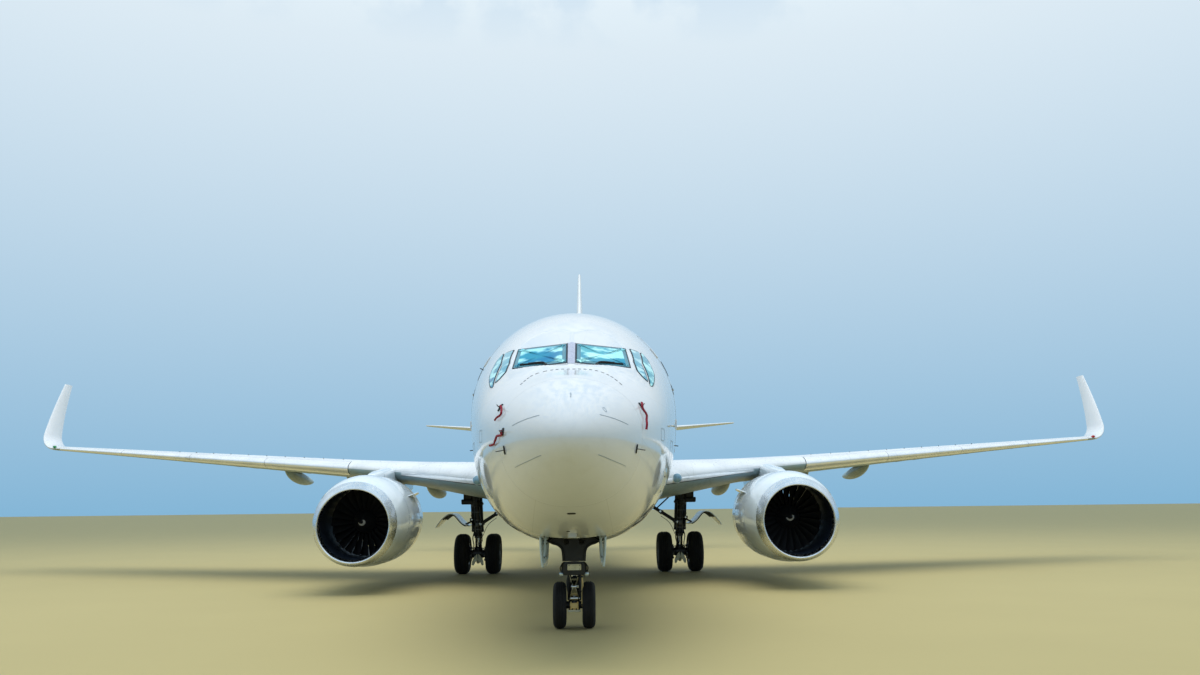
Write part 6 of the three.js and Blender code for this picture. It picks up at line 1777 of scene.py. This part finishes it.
# Ribbon hung down the skin: its width runs square to the path, and it stands off on small waves
def makeRibbon(name, side, path):
    flat = smoothLine(np.array(path), 6)
    point, normal = skinAt(side, flat[:, 0], flat[:, 1])
    run = np.concatenate([[0], np.cumsum(np.linalg.norm(np.diff(point, axis=0), axis=1))])
    lift = 0.03 + 0.004 * np.sin(run * 38)
    centre = point + normal * lift[:, None]
    tangent = unit(np.gradient(centre, axis=0))
    across = unit(np.cross(tangent, normal * 0.3 + [0, -1, 0])) * details["ribbonWidth"] / 2
    half, skin = details["ribbonThick"] / 2, unit(np.cross(across, tangent))
    ring = [centre + across * w + skin * (h * half + 0.004 * math.cos(w * 3)) for w, h in
            ((-1, 1), (-0.5, 1), (0, 1), (0.5, 1), (1, 1), (1, -1), (0.5, -1), (0, -1), (-0.5, -1), (-1, -1))]
    mould = Mould().grid(np.stack(ring, 1))
    piece = makePiece(name, mould, "ribbonRed", smooth=60)
    run = np.linalg.norm(np.diff(centre, axis=0), axis=1).sum()


def makeSmallThings():
    probes, marks = Mould(), Mould()
    for side in (1, -1):
        place = onSide(side)
        for station, height in details["pitot"][:1 if side > 0 else 2]:
            p, n = spotOn(place, station, height)
            foot = roundedBox(station, height, 0.05, 0.095, 0.02, 4, 1)
            skinPatch(probes, place, foot, [(0, -0.004), (0, 0.008), (-0.006, 0.012)], paint=3, steps=1)
            aerial(probes, p + [0, -0.02, 0], n, 0.038, 0.05, 0.04, -0.02, 0.018, 1)
            head = p + n * 0.036 + [0, -0.01, 0]
            tip = head + np.array([0, -0.15, 0.0])
            rod(probes, head + [0, 0.04, 0], tip, 0.012, 0.008, 16, 1)
            rod(probes, tip, tip + [0, -0.002, 0], 0.006, sides=12)
        station, height = details["vane"]
        p, n = spotOn(place, station, height)
        ring = circle(1, 24)  # an oval plate under the vane
        oval = ring[:, :1] * [0, 0.028, 0] + ring[:, 1:] * 0.058 * unit(np.cross(n, (0, 1, 0)))
        rows = ((1, -0.01), (1, 0.009), (0.9, 0.012), (0.02, 0.012))
        probes.grid([p + oval * size + n * lift for size, lift in rows], paint=3)
        aerial(probes, p + [0, -0.02, 0], n, 0.1, 0.05, 0.028, 0.04, 0.014, 0)
        # probe of the outside air's warmth, and a pair of static plates
        if side > 0:
            p, n = spotOn(place, 3.05, 2.95)
            aerial(probes, p + [0, -0.04, 0], n, 0.05, 0.09, 0.06, 0.02, 0.024, 1)
            rod(probes, p + n * 0.055 + [0, 0.07, 0], p + n * 0.055 + [0, -0.045, 0], 0.018, 0.016, 18, 1)
        for station, height in ((8.6, 2.75), (8.75, 2.55)):
            outline = roundedBox(station, height, 0.11, 0.11, 0.05, 5, 1)
            skinPatch(probes, place, outline, [(0, -0.004), (0, 0.002), (-0.003, 0.003)], paint=1, steps=1)
            for du, dv in ((0.02, 0.02), (-0.02, 0.02), (0.02, -0.02), (-0.02, -0.02)):
                spot, n = spotOn(place, station + du, height + dv)
                rod(probes, spot, spot + n * 0.0036, 0.004, sides=8)
        for path in details["strips"]:
            skinLine(marks, place, smoothLine(path, 8), 0.006, 0.003)
        for station in np.arange(2.2, 7.9, 0.42):  # small round fasteners along a row
            spot, n = spotOn(place, station, 2.35 - 0.03 * station)
            rod(marks, spot - n * 0.002, spot + n * 0.0022, 0.012, sides=10)
        for panel in details["panels"]:
            if panel[0] == side:
                skinLine(marks, place, roundedBox(*panel[1:], 4, 2), 0.009, closed=True)
        lamp = roundedBox(9.9, 3.0, 0.16, 0.09, 0.04, 5, 1)  # light that shines on the wing's front edge
        skinPatch(probes, place, lamp, [(0.01, -0.004), (0.01, 0.002), (0, 0.004)], paint=1, steps=1)
        skinPatch(probes, place, offsetOutline(lamp, -0.004), [(0, 0), (0, 0.0055)], paint=2, steps=2)
    # vanes that show at the body's sides, a latch and a small ring
    for side, station, height in details["sideVanes"]:
        p, n = spotOn(onSide(side), station, height)
        aerial(probes, p, n, 0.055, 0.06, 0.035, 0.015, 0.016, 3)
    latch = roundedBox(3.05, 2.215, 0.16, 0.022, 0.01, 3, 1)
    skinPatch(probes, onSide(1), latch, [(0, -0.004), (0, 0.003)], paint=3, steps=1)
    skinLine(marks, onTop(1), np.array([0.433, 0.415]) + circle(0.022, 20), 0.006, closed=True)
    # dashed arc below the windshield, a pair of slits on the crown of the nose, marks beneath
    line = smoothLine(details["arc"], 8)
    for k in range(1, len(line) - 3, 4):
        skinLine(probes, onTop(1), line[k:k + 3], 0.018, 0.003)
    skinLine(marks, onTop(1), np.array([(0.44, 0.012), (0.49, 0.014), (0.55, 0.01)]), 0.012, 0.004)
    for s0, x0, w, h in ((1.36, 0.0, 0.05, 0.11), (2.1, -0.057, 0.04, 0.05)):
        point, n = spotOn(onTop(-1), s0, x0)
        outline = roundedBox(s0, x0, w, h, min(w, h) * 0.45, 4, 1)
        skinPatch(probes, onTop(-1), outline, [(0, -0.004), (0, 0.004), (-0.005, 0.006)], paint=3, steps=1)
    for half, s0, x0, w, h in details["hatches"]:
        skinLine(marks, onTop(half), roundedBox(s0, x0, w, h, 0.06, 4, 3), 0.009, closed=True)
    makePiece("probes", probes, "probeMetal lipMetal lampGlass hoseBlack")
    makePiece("skin_marks", marks, "panelLine")
    for name, (side, path) in details["ribbons"].items():
        makeRibbon(name, side, path)

    aerials = Mould()
    rod(aerials, at(0, 2.25, 1.65), at(0, 2.25, 1.39), 0.06, sides=32, edge=0.03)
    for half, s0, tall, root, tip, lean in details["aerials"]:
        point, n = spotOn(onTop(half), s0, 0.0)
        aerial(aerials, point, n, tall if half > 0 else tall * 0.85, root, tip, lean, 0.034)
    for s0 in (7.6, 12.2):  # low domes on the crown
        outline = roundedBox(s0, 0.0, 0.3, 0.2, 0.09, 6, 1)
        skinPatch(aerials, onTop(1), outline, [(0, -0.01), (0, 0.006), (-0.02, 0.02), (-0.05, 0.028)], steps=2)
    # rotating beacons: a foot and a red dome, above and below
    for half, s0 in ((1, 15.3), (-1, 9.4)):
        point, n = spotOn(onTop(half), s0, 0.0)
        turned(aerials, [(-0.02, 0.1), (0.015, 0.1), (0.022, 0.085), (0.022, 0.0)], point, n, 32, 0)
        turned(aerials, [(0.02, 0.072), (0.055, 0.07), (0.085, 0.052), (0.098, 0.025), (0.1, 0.0)], point, n, 32, 1)
    # drain mast and tail skid
    point, n = spotOn(onTop(-1), 24.0, 0.35)
    aerial(aerials, point, n, 0.24, 0.2, 0.12, 0.16, 0.05)
    point, n = spotOn(onTop(-1), 27.4, 0.0)
    aerial(aerials, point, n, 0.2, 0.55, 0.3, 0.12, 0.1)
    makePiece("aerials", aerials, "aerialPaint redLens")


makeSmallThings()
print("small things made")


trim = {
    "wicks": ((12.9, 0.16), (13.9, 0.16), (14.9, 0.15), (15.8, 0.14), (16.7, 0.13)),  # x, length
    "stabWicks": ((5.2, 0.14), (6.1, 0.13), (7.0, 0.12)), "finWicks": ((10.2, 0.14), (11.3, 0.13), (12.3, 0.12)),
    "tanks": ((4.6, 0.3), (7.8, 0.34), (9.6, 0.36), (11.6, 0.38), (13.4, 0.4)),  # x and chord fraction
}


# A spot on the wing's skin and its normal: x, fraction of the chord, upper (+1) or lower (-1)
def onWing(x, f, side):
    frame = wingFrame(np.array([x, x + 0.05]))
    a = foilPoint(frame, np.array([f, f + 0.01]), side)
    n = unit(np.cross(a[1, 0] - a[0, 0], a[0, 1] - a[0, 0])) * side
    n = n if n[2] * side > 0 else -n
    return a[0, 0], n


def makeWingTrim():
    mould, lamps = Mould(), Mould()
    for x, reach in trim["wicks"]:
        point, _ = onWing(x, 0.995, 1)
        rod(mould, point + [0, -0.03, 0], point + [0.02, reach, 0.0], 0.0045, 0.003, 8, 1)
        brick(mould, point + [-0.006, -0.07, -0.006], point + [0.006, 0.005, 0.01], 0.002)
    for x, f in trim["tanks"]:  # access covers beneath, as low ovals
        for k in range(2):
            point, n = onWing(x + 0.62 * k, f, -1)
            oval = circle(1, 24) @ [[0.16, 0, 0.02], [0, 0.27, 0]]
            rows = ((1, -0.02), (1, 0.003), (0.97, 0.005), (0.02, 0.005))
            mould.grid([point + oval * size + n * lift for size, lift in rows], paint=2)
    for x in np.arange(6.4, 12.0, 0.62):  # small turning vanes on the upper skin
        point, n = onWing(x, 0.16, 1)
        aerial(mould, point, n, 0.028, 0.07, 0.03, 0.02, 0.004, 1)
    # pale lower lip of the inner wing's leading edge, with a dark line behind it
    frames = wingFrame(np.linspace(1.9, 4.5, 12))
    for low, high, lift, paint in ((0.0, 0.0072, 0.004, 4), (0.0072, 0.01, 0.003, 1)):
        f = np.linspace(math.sqrt(low), math.sqrt(high), 6) ** 2
        skin = foilPoint(frames, f, -1)
        away = np.array([0, -0.6, -0.8])
        ring = np.concatenate([skin + away * lift, skin[:, ::-1] - away * 0.012], 1)
        mould.grid(ring, paint=paint)
    # landing lights at the root
    base = at(2.35, 11.66, 2.46)
    turned(lamps, [(0.1, 0.06), (0.1, 0.105), (-0.02, 0.118), (-0.06, 0.112), (-0.065, 0.104)], base, (0, 1, 0), 36, 0)
    turned(lamps, [(-0.0645, 0.106), (-0.085, 0.085), (-0.098, 0.045), (-0.102, 0.0)], base, (0, 1, 0), 36, 1)
    point = onWing(16.9, 0.06, 1)[0] + [0, -0.03, 0]
    turned(lamps, [(-0.02, 0.03), (0.04, 0.045), (0.1, 0.036), (0.13, 0.0)], point, (0, -1, 0), 20, 2)
    rod(mould, at(3.55, 15.9, 2.45), at(3.55, 15.9, 2.295), 0.06, sides=32, edge=0.03)
    makePair("wing_trim", mould, "probeMetal hoseBlack underPaint doorPaint slatMetal")
    for hand, made, lens in (("left", lamps, "redLens"), ("right", lamps.mirrored(), "greenLens")):
        makePiece(f"wing_lamps_{hand}", made, f"cowlPaint blueLens {lens}")
    rear = Mould()
    for x, reach in trim["stabWicks"]:
        frame = stabFrame(np.array([x, x + 0.01]))
        point = foilPoint(frame, np.array([0.99, 1.0]), 1)[0, 0]
        reach = min(reach, midStation - point[1])  # ends no further aft than the body
        for sign in (1, -1):
            rod(rear, (point + [0, -0.02, 0]) * [sign, 1, 1], (point + [0, reach, 0]) * [sign, 1, 1], 0.0045, 0.003,
                8, 1)
    for z, reach in trim["finWicks"]:
        frame = finFrame(np.array([z, z + 0.01]))
        point = foilPoint(frame, np.array([0.99, 1.0]), 1)[0, 0] * [0, 1, 1]
        reach = min(reach, midStation - point[1])
        rod(rear, point + [0, -0.02, 0], point + [0, reach, 0.02], 0.0045, 0.003, 8, 1)
    # at the tail: a white lamp over the outlet, and the inlet door of the auxiliary unit
    rod(rear, at(0, 31.95, 5.095), at(0, 32.05, 5.088), 0.03, 0.022, 20)
    point, n = spotOn(onSide(-1), 30.6, 4.9)
    skinPatch(rear, onSide(-1), roundedBox(30.6, 4.86, 0.34, 0.2, 0.05, 4, 2),
              [(0, -0.01), (0, 0.012), (-0.01, 0.018)], steps=1)
    makePiece("tail_trim", rear, "lipMetal hoseBlack")


makeWingTrim()


# Seams and latches on the cowls, at a distance aft and an angle from the top
def makeCowlTrim():
    mould, cowl = Mould(), smoothLine(engine["cowl"], 7)

    def onCowl(aft, angle):
        normal = np.stack([np.sin(angle), 0 * angle, np.cos(angle)], -1)
        point = normal * np.interp(aft, cowl[:, 0], cowl[:, 1])[..., None]
        x, _, z = np.moveaxis(point, -1, 0)
        z = np.where(z < 0, z * (1 - engine["flatness"]), z) - engine["droop"] * np.clip(1 - aft, 0, None) ** 2
        return np.stack([x, aft, z], -1) + [0, engine["station"] - midStation, engine["height"]], normal

    ring = np.linspace(-math.pi + 0.001, math.pi - 0.001, 96)
    skinLine(mould, onCowl, np.stack([np.full(96, 1.02), ring], -1), 0.01)
    for angle in (0.24, -0.24, math.pi - 0.015):
        skinLine(mould, onCowl, np.stack([np.linspace(1.02, 2.34, 24), np.full(24, angle)], -1), 0.009)
    for k in range(4):  # latches along the bottom seam
        start = 1.25 + 0.29 * k
        path = np.stack([np.linspace(start, start + 0.11, 4), np.full(4, math.pi - 0.015)], -1)
        skinLine(mould, onCowl, path, 0.045, 0.004, paint=1)
    for angle, aft, w, h in ((1.75, 1.55, 0.3, 0.24), (-2.0, 1.75, 0.22, 0.2), (1.25, 0.62, 0.2, 0.16)):
        skinLine(mould, onCowl, roundedBox(aft, angle, w, h, 0.04, 4, 2), 0.008, closed=True)
    bothEngines("cowl_lines", mould, "panelLine lipMetal")


makeCowlTrim()
print("trim made")
